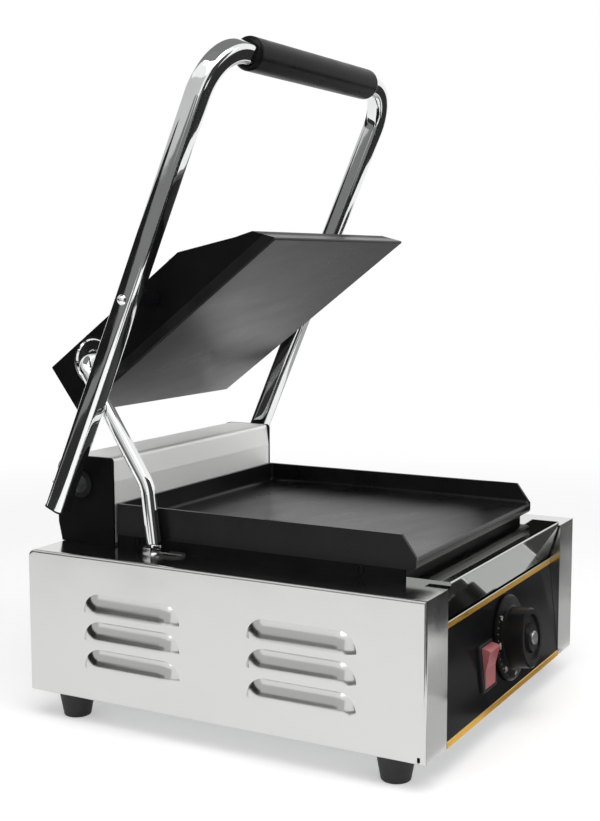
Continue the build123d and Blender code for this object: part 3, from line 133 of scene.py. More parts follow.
# %% A finish and its nodes
class Finish:
    """A material built round one Principled shader."""

    def __init__(self, name, **sockets):
        self.material = bpy.data.materials.new(name)
        self.material.use_nodes = True
        self.tree = self.material.node_tree
        self.tree.nodes.clear()
        self.shader = self.tree.nodes.new("ShaderNodeBsdfPrincipled")
        output = self.tree.nodes.new("ShaderNodeOutputMaterial")
        self.tree.links.new(self.shader.outputs[0], output.inputs[0])
        self.coordinates = self.add("TexCoord", output="Object")
        for socket, value in sockets.items():
            self.set(socket.replace("_", " ").title().replace("Ior", "IOR"), value)

    def plug(self, socket, value):
        """Links a Value to a socket, or sets the socket to a number or a colour."""
        if isinstance(value, Value):
            self.tree.links.new(value.socket, socket)
        elif isinstance(value, (tuple, list)) and socket.type == "RGBA":
            socket.default_value = (*value[:3], 1)
        else:
            socket.default_value = value

    def set(self, socket, value):
        """Plugs a value into the Principled shader."""
        self.plug(self.shader.inputs[socket], value)

    def add(self, kind, settings=None, sockets=None, output=0):
        """A node of any kind: its settings first, then its sockets."""
        node = self.tree.nodes.new("ShaderNode" + kind)
        for name, value in (settings or {}).items():
            setattr(node, name, value)
        for name, value in (sockets or {}).items():
            self.plug(node.inputs[name], value)
        return Value(self, node.outputs[output])

    def stretched(self, scale, turn=(0, 0, 0)):
        """Object coordinates, turned and then scaled along each axis."""
        turned = self.coordinates
        if any(turn):
            turned = self.add("Mapping", None, {"Vector": turned, "Rotation": turn})
        return self.add("Mapping", None, {"Vector": turned, "Scale": scale})

    def noise(self, scale, detail=2.0, rough=0.5, place=None):
        """Smooth noise from 0 to 1, with features about 1 / scale metres across."""
        place = place or self.coordinates
        sockets = {"Vector": place, "Scale": scale, "Detail": detail, "Roughness": rough}
        return self.add("TexNoise", None, sockets)

    def spread(self, value, low, high, start=0.0, end=1.0):
        """A value taken from the range low to high to the range start to end, and kept inside it."""
        sockets = {"Value": value, "From Min": low, "From Max": high, "To Min": start, "To Max": end}
        return self.add("MapRange", None, sockets)

    def mix(self, factor, first, second):
        """One colour blended into another."""
        return self.add("Mix", {"data_type": "RGBA"}, {0: factor, 6: first, 7: second}, output=2)

    def bump(self, height, distance, strength=1.0, under=None):
        """A bump in metres, laid over another bump if one is given."""
        sockets = {"Height": height, "Distance": distance, "Strength": strength}
        if under:
            sockets["Normal"] = under
        return self.add("Bump", None, sockets)


finishes = {}
node_slots = {part["node"]: part["material_slot"] for part in frame["record"]["subparts"]}
print("the record asks for the finishes", sorted(set(node_slots.values())))


def report(*slots):
    """Prints how many nodes each new finish has."""
    for slot in slots:
        material = finishes[slot]
        print(slot, "is", material.name, "with", len(material.node_tree.nodes), "nodes")


# %% [markdown]
# The casing is stainless sheet with a soft factory sheen. It was rolled, so its grain runs one way,
# it has hardly any colour, and handling leaves faint cloudy wipes that only show in the gloss. A
# photographed texture would show its seams, so the grain is noise squeezed hard across its
# direction, and the wipes are slow noise in the roughness.


# %% Sheet metals
def rolled_sheet(name, colour, gloss, grain, grain_depth, wipe):
    """Metal sheet with a fine grain; grain is the noise scale along each axis."""
    finish = Finish(name, metallic=1.0)
    lines = finish.noise(1.0, detail=3.0, rough=0.6, place=finish.stretched(grain))
    clouds = finish.noise(14.0, detail=3.0)
    smears = finish.noise(55.0, detail=4.0, rough=0.65, place=finish.stretched((1.0, 0.4, 1.6)))
    wiped = finish.spread(clouds * 0.6 + smears * 0.4, 0.42, 0.62)
    shade = finish.spread(lines * 0.5 + clouds * 0.5, 0.3, 0.7, 0.965, 1.0)
    dull = tuple(channel * 0.9 for channel in colour)
    finish.set("Base Color", finish.mix(shade, dull, colour))
    finish.set("Roughness", wiped * wipe + finish.spread(lines, 0.3, 0.7, gloss, gloss * 1.2))
    wavy = finish.bump(finish.noise(9.0, detail=1.0), 0.6 * mm, 0.35)
    finish.set("Normal", finish.bump(lines, grain_depth, 0.5, wavy))
    return finish.material


fine, drawn_out = 2600, 24
grain_along_y = (fine, drawn_out, fine)
grain_along_x = (drawn_out, fine, fine)
polish_along_x = (30, 3000, 3000)

finishes["stainless"] = rolled_sheet(
    "satin_stainless_lengthwise", (0.635, 0.635, 0.628), 0.12, grain_along_y, 0.003 * mm, 0.06
)
# The crosswise cousin is much paler than the lengthwise sheet. This is a painted brightening that stands in for
# light on the box cover, whose front lies in shade and mirrors the dark pan.
painted_bright_cross_stainless = rolled_sheet(
    "satin_stainless_crosswise_painted_bright", (0.95, 0.95, 0.94), 0.52, grain_along_x, 0.006 * mm, 0.08
)
finishes["polished_stainless"] = rolled_sheet(
    "polished_stainless", (0.62, 0.635, 0.60), 0.035, polish_along_x, 0.0003 * mm, 0.03
)
report("stainless", "polished_stainless")

# %% [markdown]
# Chrome plate is almost a mirror. A plain mirror would look like a drawing: what tells the eye that
# it is real is in the gloss. So it gets hairline polishing marks, a little haze where hands go, and
# a skin that isn't perfectly flat.


# %% Chrome
def chrome_plate():
    finish = Finish("bright_chrome", metallic=1.0)
    haze = finish.spread(finish.noise(38.0, detail=4.0, rough=0.6), 0.5, 0.75)
    hairs = finish.noise(900.0, detail=2.0, place=finish.stretched((1.0, 0.06, 0.06)))
    finish.set("Base Color", finish.mix(haze, (0.86, 0.865, 0.87), (0.80, 0.805, 0.81)))
    finish.set("Roughness", haze * 0.07 + finish.spread(hairs, 0.35, 0.7, 0.03, 0.06))
    finish.set("Normal", finish.bump(finish.noise(60.0, detail=1.0), 0.12 * mm, 0.35))
    return finish.material


finishes["chrome"] = chrome_plate()
report("chrome")

# %% [markdown]
# Zinc plate is duller and faintly blue. It freezes in patches, which a Voronoi texture gives, with
# a slight change of gloss from patch to patch. Spring steel is dark and oily, the heating elements'
# sheath is brown-grey from its own heat, and brass darkens with age. These three differ only in
# their tints and their gloss, so one function makes them.


# %% Hidden metals
def zinc_plate():
    finish = Finish("zinc_plate", metallic=1.0)
    patches = finish.add("TexVoronoi", {"feature": "F1"}, {"Vector": finish.coordinates, "Scale": 260.0})
    stain = finish.spread(finish.noise(70.0, detail=4.0), 0.35, 0.7)
    finish.set("Base Color", finish.mix(stain, (0.66, 0.68, 0.70), (0.52, 0.53, 0.53)))
    finish.set("Roughness", finish.spread(patches, 0.0, 1.0, 0.27, 0.42) + stain * 0.08)
    finish.set("Normal", finish.bump(patches, 0.01 * mm, 0.4))
    return finish.material


def tinted_metal(name, first, second, scale, gloss):
    """Metal whose colour drifts between two tints along the piece."""
    finish = Finish(name, metallic=1.0)
    drift = finish.spread(finish.noise(scale, detail=3.0), 0.35, 0.65)
    grit = finish.noise(1500.0, detail=2.0)
    finish.set("Base Color", finish.mix(drift, first, second))
    finish.set("Roughness", finish.spread(grit, 0.3, 0.7, gloss, gloss + 0.12))
    finish.set("Normal", finish.bump(grit, 0.01 * mm, 0.5))
    return finish.material


finishes["zinc_steel"] = zinc_plate()
finishes["spring_steel"] = tinted_metal(
    "oiled_spring_steel", (0.20, 0.20, 0.22), (0.30, 0.29, 0.28), 60.0, 0.24
)
finishes["element_steel"] = tinted_metal(
    "heated_sheath", (0.30, 0.29, 0.28), (0.24, 0.20, 0.16), 24.0, 0.42
)
finishes["brass"] = tinted_metal("plain_brass", (0.78, 0.60, 0.28), (0.62, 0.44, 0.18), 80.0, 0.24)
# The knob's cap is silver metal, but its colour here is darkened. This is painted shade that stands in for the
# dimmer reflection the cap shows.
painted_dim_cap_metal = tinted_metal("cap_metal_painted_dim", (0.30, 0.30, 0.31), (0.40, 0.40, 0.41), 400.0, 0.30)
report("zinc_steel", "spring_steel", "element_steel", "brass")

# %% [markdown]
# Sprayed enamel on sheet steel is glossy but never perfectly flat: it has the long soft dimples
# called orange peel, and a few specks of dust under the surface. It could be one black with one
# gloss, but then large black faces look cut from paper, so both drift a little.


# %% Sprayed enamel
enamel_shine = 0.05


def sprayed_enamel(name, colour, gloss, peel):
    finish = Finish(name, metallic=0.0, specular_ior_level=enamel_shine)
    dimples = finish.noise(420.0, detail=1.5)
    dust = finish.spread(finish.noise(2600.0, detail=0.0), 0.74, 0.80)
    haze = finish.noise(26.0, detail=4.0, rough=0.6)
    pale = tuple(channel * 2.2 for channel in colour)
    finish.set("Base Color", finish.mix(finish.spread(haze, 0.4, 0.8) * 0.5 + dust * 0.4, colour, pale))
    finish.set("Roughness", finish.spread(haze, 0.3, 0.75, gloss, gloss + 0.10))
    finish.set("Normal", finish.bump(dimples, peel, 0.5))
    return finish.material


finishes["black_enamel"] = sprayed_enamel("black_enamel", (0.006, 0.0062, 0.0068), 0.16, 0.03 * mm)
box_enamel = sprayed_enamel("satin_black_enamel", (0.005, 0.005, 0.0053), 0.36, 0.04 * mm)
report("black_enamel")

# %% [markdown]
# The cast cooking plates have a finer, tighter skin, with the grain of the casting just showing
# through, and are a touch less black. They have been wiped, so slow noise that is drawn out along
# the hand's stroke drives both their colour and their gloss.


# %% Cooking skin
skin_shine = 0.24
skin_black, skin_grey = (0.006, 0.006, 0.0063), (0.010, 0.010, 0.0105)
wiping_stroke = (0.6, 1.7, 1.0)
stroke_turn = (0, 0, 0.3)


def cooking_skin():
    finish = Finish("cast_cooking_plate", metallic=0.0, specular_ior_level=skin_shine)
    grain = finish.noise(1300.0, detail=3.0, rough=0.6)
    swell = finish.noise(120.0, detail=2.0)
    wiped = finish.noise(20.0, detail=4.0, rough=0.6, place=finish.stretched(wiping_stroke, stroke_turn))
    wiped_gloss = finish.spread(wiped, 0.3, 0.7, 0.24, 0.33)
    finish.set("Base Color", finish.mix(finish.spread(wiped, 0.35, 0.7), skin_black, skin_grey))
    finish.set("Roughness", wiped_gloss + finish.spread(grain, 0.3, 0.7, 0.0, 0.04))
    finish.set("Normal", finish.bump(grain, 0.018 * mm, 0.6, finish.bump(swell, 0.04 * mm, 0.4)))
    return finish.material


finishes["cast_enamel"] = cooking_skin()
report("cast_enamel")

# %% [markdown]
# The strips above and below the panel are gold-coloured metal, brushed along their length, and
# the upper one's rounded top edge catches a pale line of light. The line is too thin for the mesh
# to give it, so the height on the strip blends the gold into a pale colour there.


# %% Gold strip
strip_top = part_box("trim_strip_upper")[1].z
pale_edge_low, pale_edge_high = strip_top - 0.6 * mm, strip_top - 0.3 * mm
deep_gold, bright_gold, pale_gold = (0.90, 0.50, 0.070), (1.0, 0.58, 0.090), (0.80, 0.76, 0.58)


def gold_strip():
    finish = Finish("gold_strip", metallic=1.0)
    lines = finish.noise(1.0, detail=3.0, place=finish.stretched((40, 3200, 3200)))
    patches = finish.noise(45.0, detail=3.0)
    gold = finish.mix(finish.spread(patches, 0.35, 0.7), bright_gold, deep_gold)
    height = finish.add("SeparateXYZ", None, {0: finish.coordinates}, output=2)
    at_edge = finish.spread(height, pale_edge_low, pale_edge_high)
    finish.set("Base Color", finish.mix(at_edge, gold, pale_gold))
    finish.set("Roughness", finish.spread(lines, 0.3, 0.7, 0.26, 0.40))
    finish.set("Normal", finish.bump(lines, 0.01 * mm, 0.5))
    return finish.material


finishes["gold_trim"] = gold_strip()
report("gold_trim")

# %% [markdown]
# The grip and the knob are pressed from a hard dark resin. Such mouldings have faint brown-black
# flow clouds and a soft gloss that hands polish. The smaller plastics are plainer, with the fine
# even grain of a spark-eroded mould. Rubber is matt, with a dusty bloom, and the terminal block is
# glazed. All of them are clouds over a fine grain, so they share one function.


# %% Mouldings and rubber
def moulding(name, colour, pale, gloss, grain_scale, grain_depth, **sockets):
    """A moulded material: slow clouds in colour and gloss over a fine mould grain."""
    finish = Finish(name, metallic=0.0, **sockets)
    clouds = finish.noise(48.0, detail=4.0, rough=0.6)
    grain = finish.noise(grain_scale, detail=2.0)
    finish.set("Base Color", finish.mix(finish.spread(clouds, 0.4, 0.75), colour, pale))
    finish.set("Roughness", finish.spread(clouds, 0.3, 0.75, gloss, gloss + 0.12))
    finish.set("Normal", finish.bump(grain, grain_depth, 0.6))
    return finish.material


finishes["black_phenolic"] = moulding(
    "dark_resin_moulding", (0.006, 0.006, 0.0063), (0.012, 0.011, 0.0105), 0.24, 700.0, 0.02 * mm,
    specular_ior_level=0.07,
)
finishes["black_plastic"] = moulding(
    "grained_black_plastic", (0.008, 0.008, 0.0085), (0.014, 0.014, 0.0145), 0.38, 1800.0, 0.03 * mm,
    specular_ior_level=0.25,
)
finishes["red_plastic"] = moulding(
    "red_lens_plastic", (0.38, 0.100, 0.104), (0.46, 0.145, 0.15), 0.30, 1500.0, 0.01 * mm
)
finishes["rubber"] = moulding(
    "foot_rubber", (0.012, 0.012, 0.012), (0.035, 0.034, 0.033), 0.62, 2200.0, 0.06 * mm
)
finishes["ceramic"] = moulding(
    "glazed_terminal_ceramic", (0.82, 0.80, 0.74), (0.74, 0.71, 0.64), 0.22, 300.0, 0.03 * mm
)
report("black_phenolic", "black_plastic", "red_plastic", "rubber", "ceramic")

# %% [markdown]
# Mineral wool is a mat of short yellow-grey fibres. Single fibres would be far too many, and the
# mats are hidden, so stretched noise in two directions gives the felted layers.


# %% Mineral wool
def wool_mat():
    finish = Finish("mineral_wool_mat", metallic=0.0)
    across = finish.noise(1.0, detail=4.0, rough=0.7, place=finish.stretched((300, 2600, 2000)))
    along = finish.noise(1.0, detail=4.0, rough=0.7, place=finish.stretched((2600, 300, 2000), (0, 0, 0.4)))
    felt = finish.spread(across * 0.5 + along * 0.5, 0.3, 0.7)
    finish.set("Base Color", finish.mix(felt, (0.36, 0.33, 0.25), (0.68, 0.64, 0.53)))
    finish.set("Roughness", finish.spread(felt, 0.0, 1.0, 0.85, 1.0))
    finish.set("Normal", finish.bump(felt, 0.8 * mm, 0.8))
    return finish.material


finishes["mineral_wool"] = wool_mat()
report("mineral_wool")

# %% [markdown]
# Each CAD node keeps its own mesh and gets the finish of its slot in the record. A few nodes need a cousin of
# their slot's finish. The box cover's and the rear panel's grain runs the other way, and their stainless is much
# paler than the side panels': a painted brightening that stands in for light, since the cover's front lies in
# shade and mirrors the dark pan. The knob's cap metal is darkened, which is painted shade for its dimmer
# reflection. The black plates at the hinge and round the pan are satin where the control panel is glossy.

# %% Dress the CAD nodes
cousins = {
    "hinge_cover": painted_bright_cross_stainless,
    "rear_panel": painted_bright_cross_stainless,
    "griddle_skirt": box_enamel,
    "hinge_bracket_left": box_enamel,
    "hinge_bracket_right": box_enamel,
    "upper_cover": box_enamel,
    "knob_cap": painted_dim_cap_metal,
}


def dress(piece, material):
    """Puts one material on every slot of a piece."""
    if not piece.material_slots:
        piece.data.materials.append(material)
    for holder in piece.material_slots:
        holder.material = material


for name, node in frame["nodes"].items():
    dress(node, cousins.get(name, finishes[node_slots[name]]))
print("dressed", len(node_slots), "nodes in", len(finishes), "finishes")

# %% [markdown]
# The new pieces below are shaped with bmesh operators and share one last step: the mesh becomes an object at the
# origin, rides on its body and takes the finish of the slot it names, unless another finish is given. Two more
# helpers read a joint from the record and pick the points or edges out of what an operator made.


# %% Helpers for new pieces
def finished(mesh, name, body, slot, smooth=True, material=None):
    """Turns a bmesh into a piece of the object."""
    data = bpy.data.meshes.new(name)
    mesh.to_mesh(data)
    mesh.free()
    for face in data.polygons:
        face.use_smooth = smooth
    piece = bpy.data.objects.new(name, data)
    scene.collection.objects.link(piece)
    dress(piece, material or finishes[slot])
    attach(piece, body)
    print(name, "has", len(data.polygons), "faces")
    return piece


def joint(name):
    """The record's joint of that name."""
    return next(one for one in frame["joints"] if one["name"] == name)


def points_of(made):
    """The points among what an operator made."""
    return [part for part in made if isinstance(part, bmesh.types.BMVert)]


def edges_of(made):
    """The edges among what an operator made."""
    return [part for part in made if isinstance(part, bmesh.types.BMEdge)]


# %% [markdown]
# The knob's skirt carries a heat scale: a tick every ten degrees of heat and a plain number every
# fifty, in off-white paint. It turns clockwise under a mark on the panel, so the numbers run the
# other way round. It could be a pattern in the material, but such small print has crisper edges as
# thin geometry. That is laid out in the knob's own frame: x and y on its face and z out of it.

# %% Scale finish and the knob's own frame
finishes["print"] = moulding(
    "off_white_print", (0.62, 0.62, 0.59), (0.48, 0.48, 0.45), 0.45, 2400.0, 0.006 * mm
)
turn = joint("thermostat_turn")
inward = Vector(turn["axis"])
sideways = Vector((1, 0, 0))
upward = inward.cross(sideways).normalized()
if upward.z < 0:
    upward = -upward
knob_frame = Matrix((sideways, upward, -inward)).transposed().to_4x4()
knob_frame.translation = Vector(turn["pos_m"])
skirt_inner, skirt_outer = 22.5 * mm, 28.5 * mm
skirt_inner_rise, skirt_outer_rise = 4.2 * mm, 3.2 * mm
skirt_slope = math.atan2(skirt_inner_rise - skirt_outer_rise, skirt_outer - skirt_inner)


def on_skirt(angle, radius):
    """A frame on the skirt: x along the rim, y outwards and z off the surface."""
    share = (radius - skirt_inner) / (skirt_outer - skirt_inner)
    rise = skirt_inner_rise + share * (skirt_outer_rise - skirt_inner_rise)
    spot = Matrix.Rotation(angle, 4, "Z") @ Matrix.Translation((0, radius, rise))
    return knob_frame @ spot @ Matrix.Rotation(-skirt_slope, 4, "X")


print("knob axis", [round(part, 3) for part in inward], "skirt slope", round(math.degrees(skirt_slope), 1))

# %% [markdown]
# A text object gives each number its shape. It is made a mesh, laid on the skirt's slope and given
# a hair of thickness, so that it stands on the surface as print does. A tick is a thin raised bar.

# %% Numbers and ticks on the skirt
number_size = 3.3 * mm
number_weight = 0.06 * mm
number_radius = 25.1 * mm
print_height = 0.05 * mm
scale_step = math.radians(45)
numbers = [50 * index for index in range(1, 7)]
ticks_per_step = 5
tick_rim = 28.2 * mm
long_tick, short_tick = (0.35 * mm, 1.3 * mm), (0.22 * mm, 0.8 * mm)


def add_number(mesh, text, place):
    """Adds a number's outline, as a thin raised mesh, to a bmesh."""
    curve = bpy.data.curves.new("number", "FONT")
    curve.body = text
    curve.size = number_size
    curve.align_x = "CENTER"
    curve.align_y = "CENTER"
    curve.extrude = print_height
    curve.offset = number_weight
    holder = bpy.data.objects.new("number", curve)
    scene.collection.objects.link(holder)
    bpy.context.view_layer.update()
    flat = bpy.data.meshes.new_from_object(holder.evaluated_get(bpy.context.evaluated_depsgraph_get()))
    flat.transform(place)
    mesh.from_mesh(flat)
    bpy.data.objects.remove(holder)
    bpy.data.curves.remove(curve)
    bpy.data.meshes.remove(flat)


def add_tick(mesh, angle, width, length):
    """Adds one raised tick, which ends at the skirt's rim, to a bmesh."""
    size = Matrix.Diagonal((width, length, 2 * print_height, 1))
    bmesh.ops.create_cube(mesh, size=1, matrix=on_skirt(angle, tick_rim - length / 2) @ size)


scale = bmesh.new()
for index, number in enumerate(numbers, start=1):
    add_number(scale, str(number), on_skirt(index * scale_step, number_radius))
for index in range(ticks_per_step, len(numbers) * ticks_per_step + 1):
    tick = long_tick if index % ticks_per_step == 0 else short_tick
    add_tick(scale, index * scale_step / ticks_per_step, *tick)
finished(scale, "knob_scale", "thermostat_knob", "black_phenolic", False, finishes["print"])

# %% [markdown]
# Each torsion spring is a close coil of round wire with one straight leg that stands on the
# bracket's foot. CAD keeps a plain sleeve for it. A screw modifier could wind it too, but spinning a
# circle about the shaft, with a small step along it at each turn, leaves the first ring of the wire
# at hand, and that is carried down as the leg.

# %% Torsion springs
hinge_point = Vector(joint("lid_lift")["pos_m"])
coil_radius = 8.75 * mm
wire_radius = 1.5 * mm
coil_pitch = 3.12 * mm
wire_facets = 12
steps_per_turn = 28
leg_gap = 0.2 * mm


def torsion_spring(side):
    """One spring: side is -1 on the left and 1 on the right."""
    name = "torsion_spring_right" if side > 0 else "torsion_spring_left"
    low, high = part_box(name)
    start_x = (high.x if side > 0 else low.x) - side * 2 * wire_radius
    turns = int((high.x - low.x - 4 * wire_radius) / coil_pitch)
    mesh = bmesh.new()
    spot = Matrix.Translation((start_x, hinge_point.y - coil_radius, hinge_point.z))
    ring = bmesh.ops.create_circle(mesh, segments=wire_facets, radius=wire_radius, matrix=spot)["verts"]
    edges = list({edge for vert in ring for edge in vert.link_edges})
    bmesh.ops.spin(
        mesh,
        geom=ring + edges,
        cent=hinge_point,
        axis=(-1, 0, 0),
        dvec=(-side * coil_pitch / steps_per_turn, 0, 0),
        angle=turns * 2 * math.pi,
        steps=turns * steps_per_turn,
    )
    leg = bmesh.ops.extrude_edge_only(mesh, edges=edges)["geom"]
    drop = low.z + leg_gap - hinge_point.z
    bmesh.ops.translate(mesh, verts=points_of(leg), vec=(0, 0, drop))
    bmesh.ops.holes_fill(mesh, edges=[edge for edge in mesh.edges if edge.is_boundary], sides=0)
    bmesh.ops.recalc_face_normals(mesh, faces=mesh.faces)
    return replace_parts(finished(mesh, "wound_" + name, "base", "spring_steel"), name)


for side in (-1, 1):
    torsion_spring(side)

# %% [markdown]
# The handle's tube was drawn square, but its faces aren't flat: they swell a little in the middle
# and run into wide soft corners, which is what makes its long reflections bend. A flat-sided tube
# mirrors each face as one plain band, so the CAD's tube is replaced. A ring of points is laid on
# such a section, then extruded along the straight runs and spun round the two bends.

# %% Handle tube
tube_half = 7.25 * mm
tube_wall = 1.2 * mm
tube_points = 64
tube_fullness = 4.2
arm_x = 129.0 * mm
arm_tail = 16.0 * mm
arm_reach = 320.5 * mm
bend_radius = 33.5 * mm
bend_steps = 28
open_angle = math.radians(66.5)
lid_frame = Matrix.Translation(hinge_point) @ Matrix.Rotation(-open_angle, 4, "X")


def crowned(angle, half):
    """A point of the tube's section: at a fullness of 2 a circle, and squarer above that."""
    power = 2 / tube_fullness
    across, up = math.cos(angle), math.sin(angle)
    return (
        half * math.copysign(abs(across) ** power, across),
        half * math.copysign(abs(up) ** power, up),
    )


def tube_skin(mesh, half):
    """One wall of the tube from the left arm's tail to the right arm's; returns its two end rings."""
    ring = []
    for index in range(tube_points):
        across, up = crowned(2 * math.pi * (index + 0.5) / tube_points, half)
        ring.append(mesh.verts.new((-arm_x + across, arm_tail, up)))
    edges = [mesh.edges.new(pair) for pair in zip(ring, ring[1:] + ring[:1])]
    first = list(edges)
    straight = arm_reach - bend_radius
    # Each run is a straight, and the middle of the bend at its end.
    runs = [
        ((0, -straight - arm_tail, 0), (bend_radius - arm_x, -straight, 0)),
        ((2 * (arm_x - bend_radius), 0, 0), (arm_x - bend_radius, -straight, 0)),
        ((0, straight + arm_tail, 0), None),
    ]
    for step, bend in runs:
        made = bmesh.ops.extrude_edge_only(mesh, edges=edges)["geom"]
        bmesh.ops.translate(mesh, verts=points_of(made), vec=step)
        edges = [edge for edge in edges_of(made) if edge.is_boundary]
        if bend:
            verts = list({vert for edge in edges for vert in edge.verts})
            quarter = dict(cent=bend, axis=(0, 0, 1), angle=math.pi / 2, steps=bend_steps)
            edges = edges_of(bmesh.ops.spin(mesh, geom=verts + edges, **quarter)["geom_last"])
    return first, edges


def handle_tube():
    """The whole tube, drawn level and swung up like the CAD's, with crisp edges at its two ends."""
    mesh = bmesh.new()
    outer = tube_skin(mesh, tube_half)
    inner = tube_skin(mesh, tube_half - tube_wall)
    for outside, inside in zip(outer, inner):
        bmesh.ops.bridge_loops(mesh, edges=outside + inside)
        for edge in outside + inside:
            edge.smooth = False
    bmesh.ops.transform(mesh, verts=mesh.verts, matrix=lid_frame)
    bmesh.ops.recalc_face_normals(mesh, faces=mesh.faces)
    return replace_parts(finished(mesh, "crowned_handle_tube", "lid_arms", "chrome"), "handle_tube")


handle_tube()

# %% [markdown]
# The conduit leaves the deck through a small chromed collar, bent round its rear and open to the
# front, so that the conduit can swing away. CAD keeps a longer saddle for it. A line across the
# wall is drawn out as one short arm, spun half round and drawn out as the other, and the flat strip
# that this leaves is raised and given soft edges.

# %% Conduit's collar
collar_wall = 1.2 * mm
collar_height = 5.0 * mm
collar_arm = 3.0 * mm
collar_steps = 24
collar_edge = 0.3 * mm
sharp_angle = math.radians(60)
end_gap = 0.6 * mm


def conduit_collar():
    """The collar, standing on the deck where CAD's saddle has its rear end."""
    low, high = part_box("conduit_saddle")
    outer = (high.x - low.x) / 2
    middle = Vector(((high.x + low.x) / 2, high.y - end_gap - outer, low.z))
    mesh = bmesh.new()
    starts = [middle + Vector((radius, -collar_arm, 0)) for radius in (outer, outer - collar_wall)]
    end = [mesh.edges.new([mesh.verts.new(start) for start in starts])]
    arm = bmesh.ops.extrude_edge_only(mesh, edges=end)["geom"]
    bmesh.ops.translate(mesh, verts=points_of(arm), vec=(0, collar_arm, 0))
    line = [edge for edge in edges_of(arm) if set(edge.verts) == set(points_of(arm))]
    half_round = dict(cent=middle, axis=(0, 0, 1), angle=math.pi, steps=collar_steps)
    last = bmesh.ops.spin(mesh, geom=list(line[0].verts) + line, **half_round)["geom_last"]
    other_arm = bmesh.ops.extrude_edge_only(mesh, edges=edges_of(last))["geom"]
    bmesh.ops.translate(mesh, verts=points_of(other_arm), vec=(0, -collar_arm, 0))
    raised = bmesh.ops.extrude_face_region(mesh, geom=mesh.faces[:])["geom"]
    bmesh.ops.translate(mesh, verts=points_of(raised), vec=(0, 0, collar_height))
    bmesh.ops.recalc_face_normals(mesh, faces=mesh.faces)
    mesh.normal_update()
    sharp = [edge for edge in mesh.edges if edge.calc_face_angle(0) > sharp_angle]
    soft = dict(offset=collar_edge, segments=2, profile=0.5, affect="EDGES", material=-1)
    bmesh.ops.bevel(mesh, geom=sharp, **soft)
    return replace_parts(finished(mesh, "conduit_collar", "base", "chrome"), "conduit_saddle")


conduit_collar()

# %% [markdown]
# The insulation is cut from a roll of mineral wool, so its edges are soft and its faces uneven.
# A displacement modifier would also push points outwards. So a block is cut into a fine grid, its
# corners are smoothed, and noise moves each point a little, always inwards, and the mat stays in
# the room that the CAD gives it.

# %% Mineral wool mats
same_point = 0.01 * mm
same_plane = 0.01
mat_cuts = 17
mat_smoothing = 2
coarse_tufts, fine_tufts = 90, 420
tuft_depth = 0.5 * mm


def wool_piece(name, node, body):
    """A soft mat inside the room of a CAD block, which may be tilted."""
    mesh = bmesh.new()
    mesh.from_mesh(frame["nodes"][node].data)
    bmesh.ops.remove_doubles(mesh, verts=mesh.verts, dist=same_point)
    bmesh.ops.dissolve_limit(mesh, angle_limit=same_plane, verts=mesh.verts, edges=mesh.edges)
    bmesh.ops.subdivide_edges(mesh, edges=mesh.edges, cuts=mat_cuts, use_grid_fill=True)
    every_axis = dict(use_axis_x=True, use_axis_y=True, use_axis_z=True)
    for _ in range(mat_smoothing):
        bmesh.ops.smooth_vert(mesh, verts=mesh.verts, factor=0.5, **every_axis)
    bmesh.ops.recalc_face_normals(mesh, faces=mesh.faces)
    mesh.normal_update()
    for vert in mesh.verts:
        tuft = 0.5 + 0.5 * noise.noise(vert.co * coarse_tufts) + 0.3 * noise.noise(vert.co * fine_tufts)
        vert.co -= vert.normal * max(0.0, tuft) * tuft_depth
    piece = finished(mesh, name, body, "mineral_wool")
    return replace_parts(piece, node)


wool_piece("lower_wool_mat", "lower_insulation", "base")
wool_piece("upper_wool_mat", "upper_insulation", "upper_plate")

# %% [markdown]
# The studio needs node trees without a Principled shader, and meshes that are no part of the grill.


# %% Studio helpers
class Stage:
    """A node tree of the studio, with one method that adds any node."""

    def __init__(self, tree):
        self.tree = tree
        tree.nodes.clear()

    def add(self, kind, settings=None, sockets=None, output=0):
        """A node of any kind; a socket's value is a number, a grey or another node's output."""
        node = self.tree.nodes.new("ShaderNode" + kind)
        for name, value in (settings or {}).items():
            setattr(node, name, value)
        for name, value in (sockets or {}).items():
            socket = node.inputs[name]
            if isinstance(value, bpy.types.NodeSocket):
                self.tree.links.new(value, socket)
            elif socket.type == "RGBA":
                socket.default_value = (value, value, value, 1)
            else:
                socket.default_value = value
        return node.outputs[output]

    def finish(self, kind, shader):
        """Links a shader to the tree's output node."""
        node = self.tree.nodes.new("ShaderNode" + kind)
        self.tree.links.new(shader, node.inputs[0])

    def seen(self):
        """1 for camera, glossy and transmission rays, and 0 for the light that falls on things."""
        kinds = ("Camera", "Glossy", "Transmission")
        rays = [self.add("LightPath", output=f"Is {kind} Ray") for kind in kinds]
        first = self.add("Math", {"operation": "MAXIMUM"}, {0: rays[0], 1: rays[1]})
        return self.add("Math", {"operation": "MAXIMUM"}, {0: first, 1: rays[2]})


def stage_mesh(name, mesh, material):
    """Turns a bmesh into a piece of the studio."""
    data = bpy.data.meshes.new(name)
    mesh.to_mesh(data)
    mesh.free()
    data.materials.append(material)
    piece = bpy.data.objects.new(name, data)
    scene.collection.objects.link(piece)
    return piece


# %% [markdown]
# The studio is a pale floor that runs off into white. More lamps would bleach the object to make
# the floor white. Instead the floor is pale by itself, and for the camera and for reflections a
# little light is added to it, so that it reads as white while the object's soft shadow still shows.

# %% Floor
floor_size = 30.0
floor_shade = 0.82
near_glow = 0.34
glow_start, glow_end = 0.45, 1.3

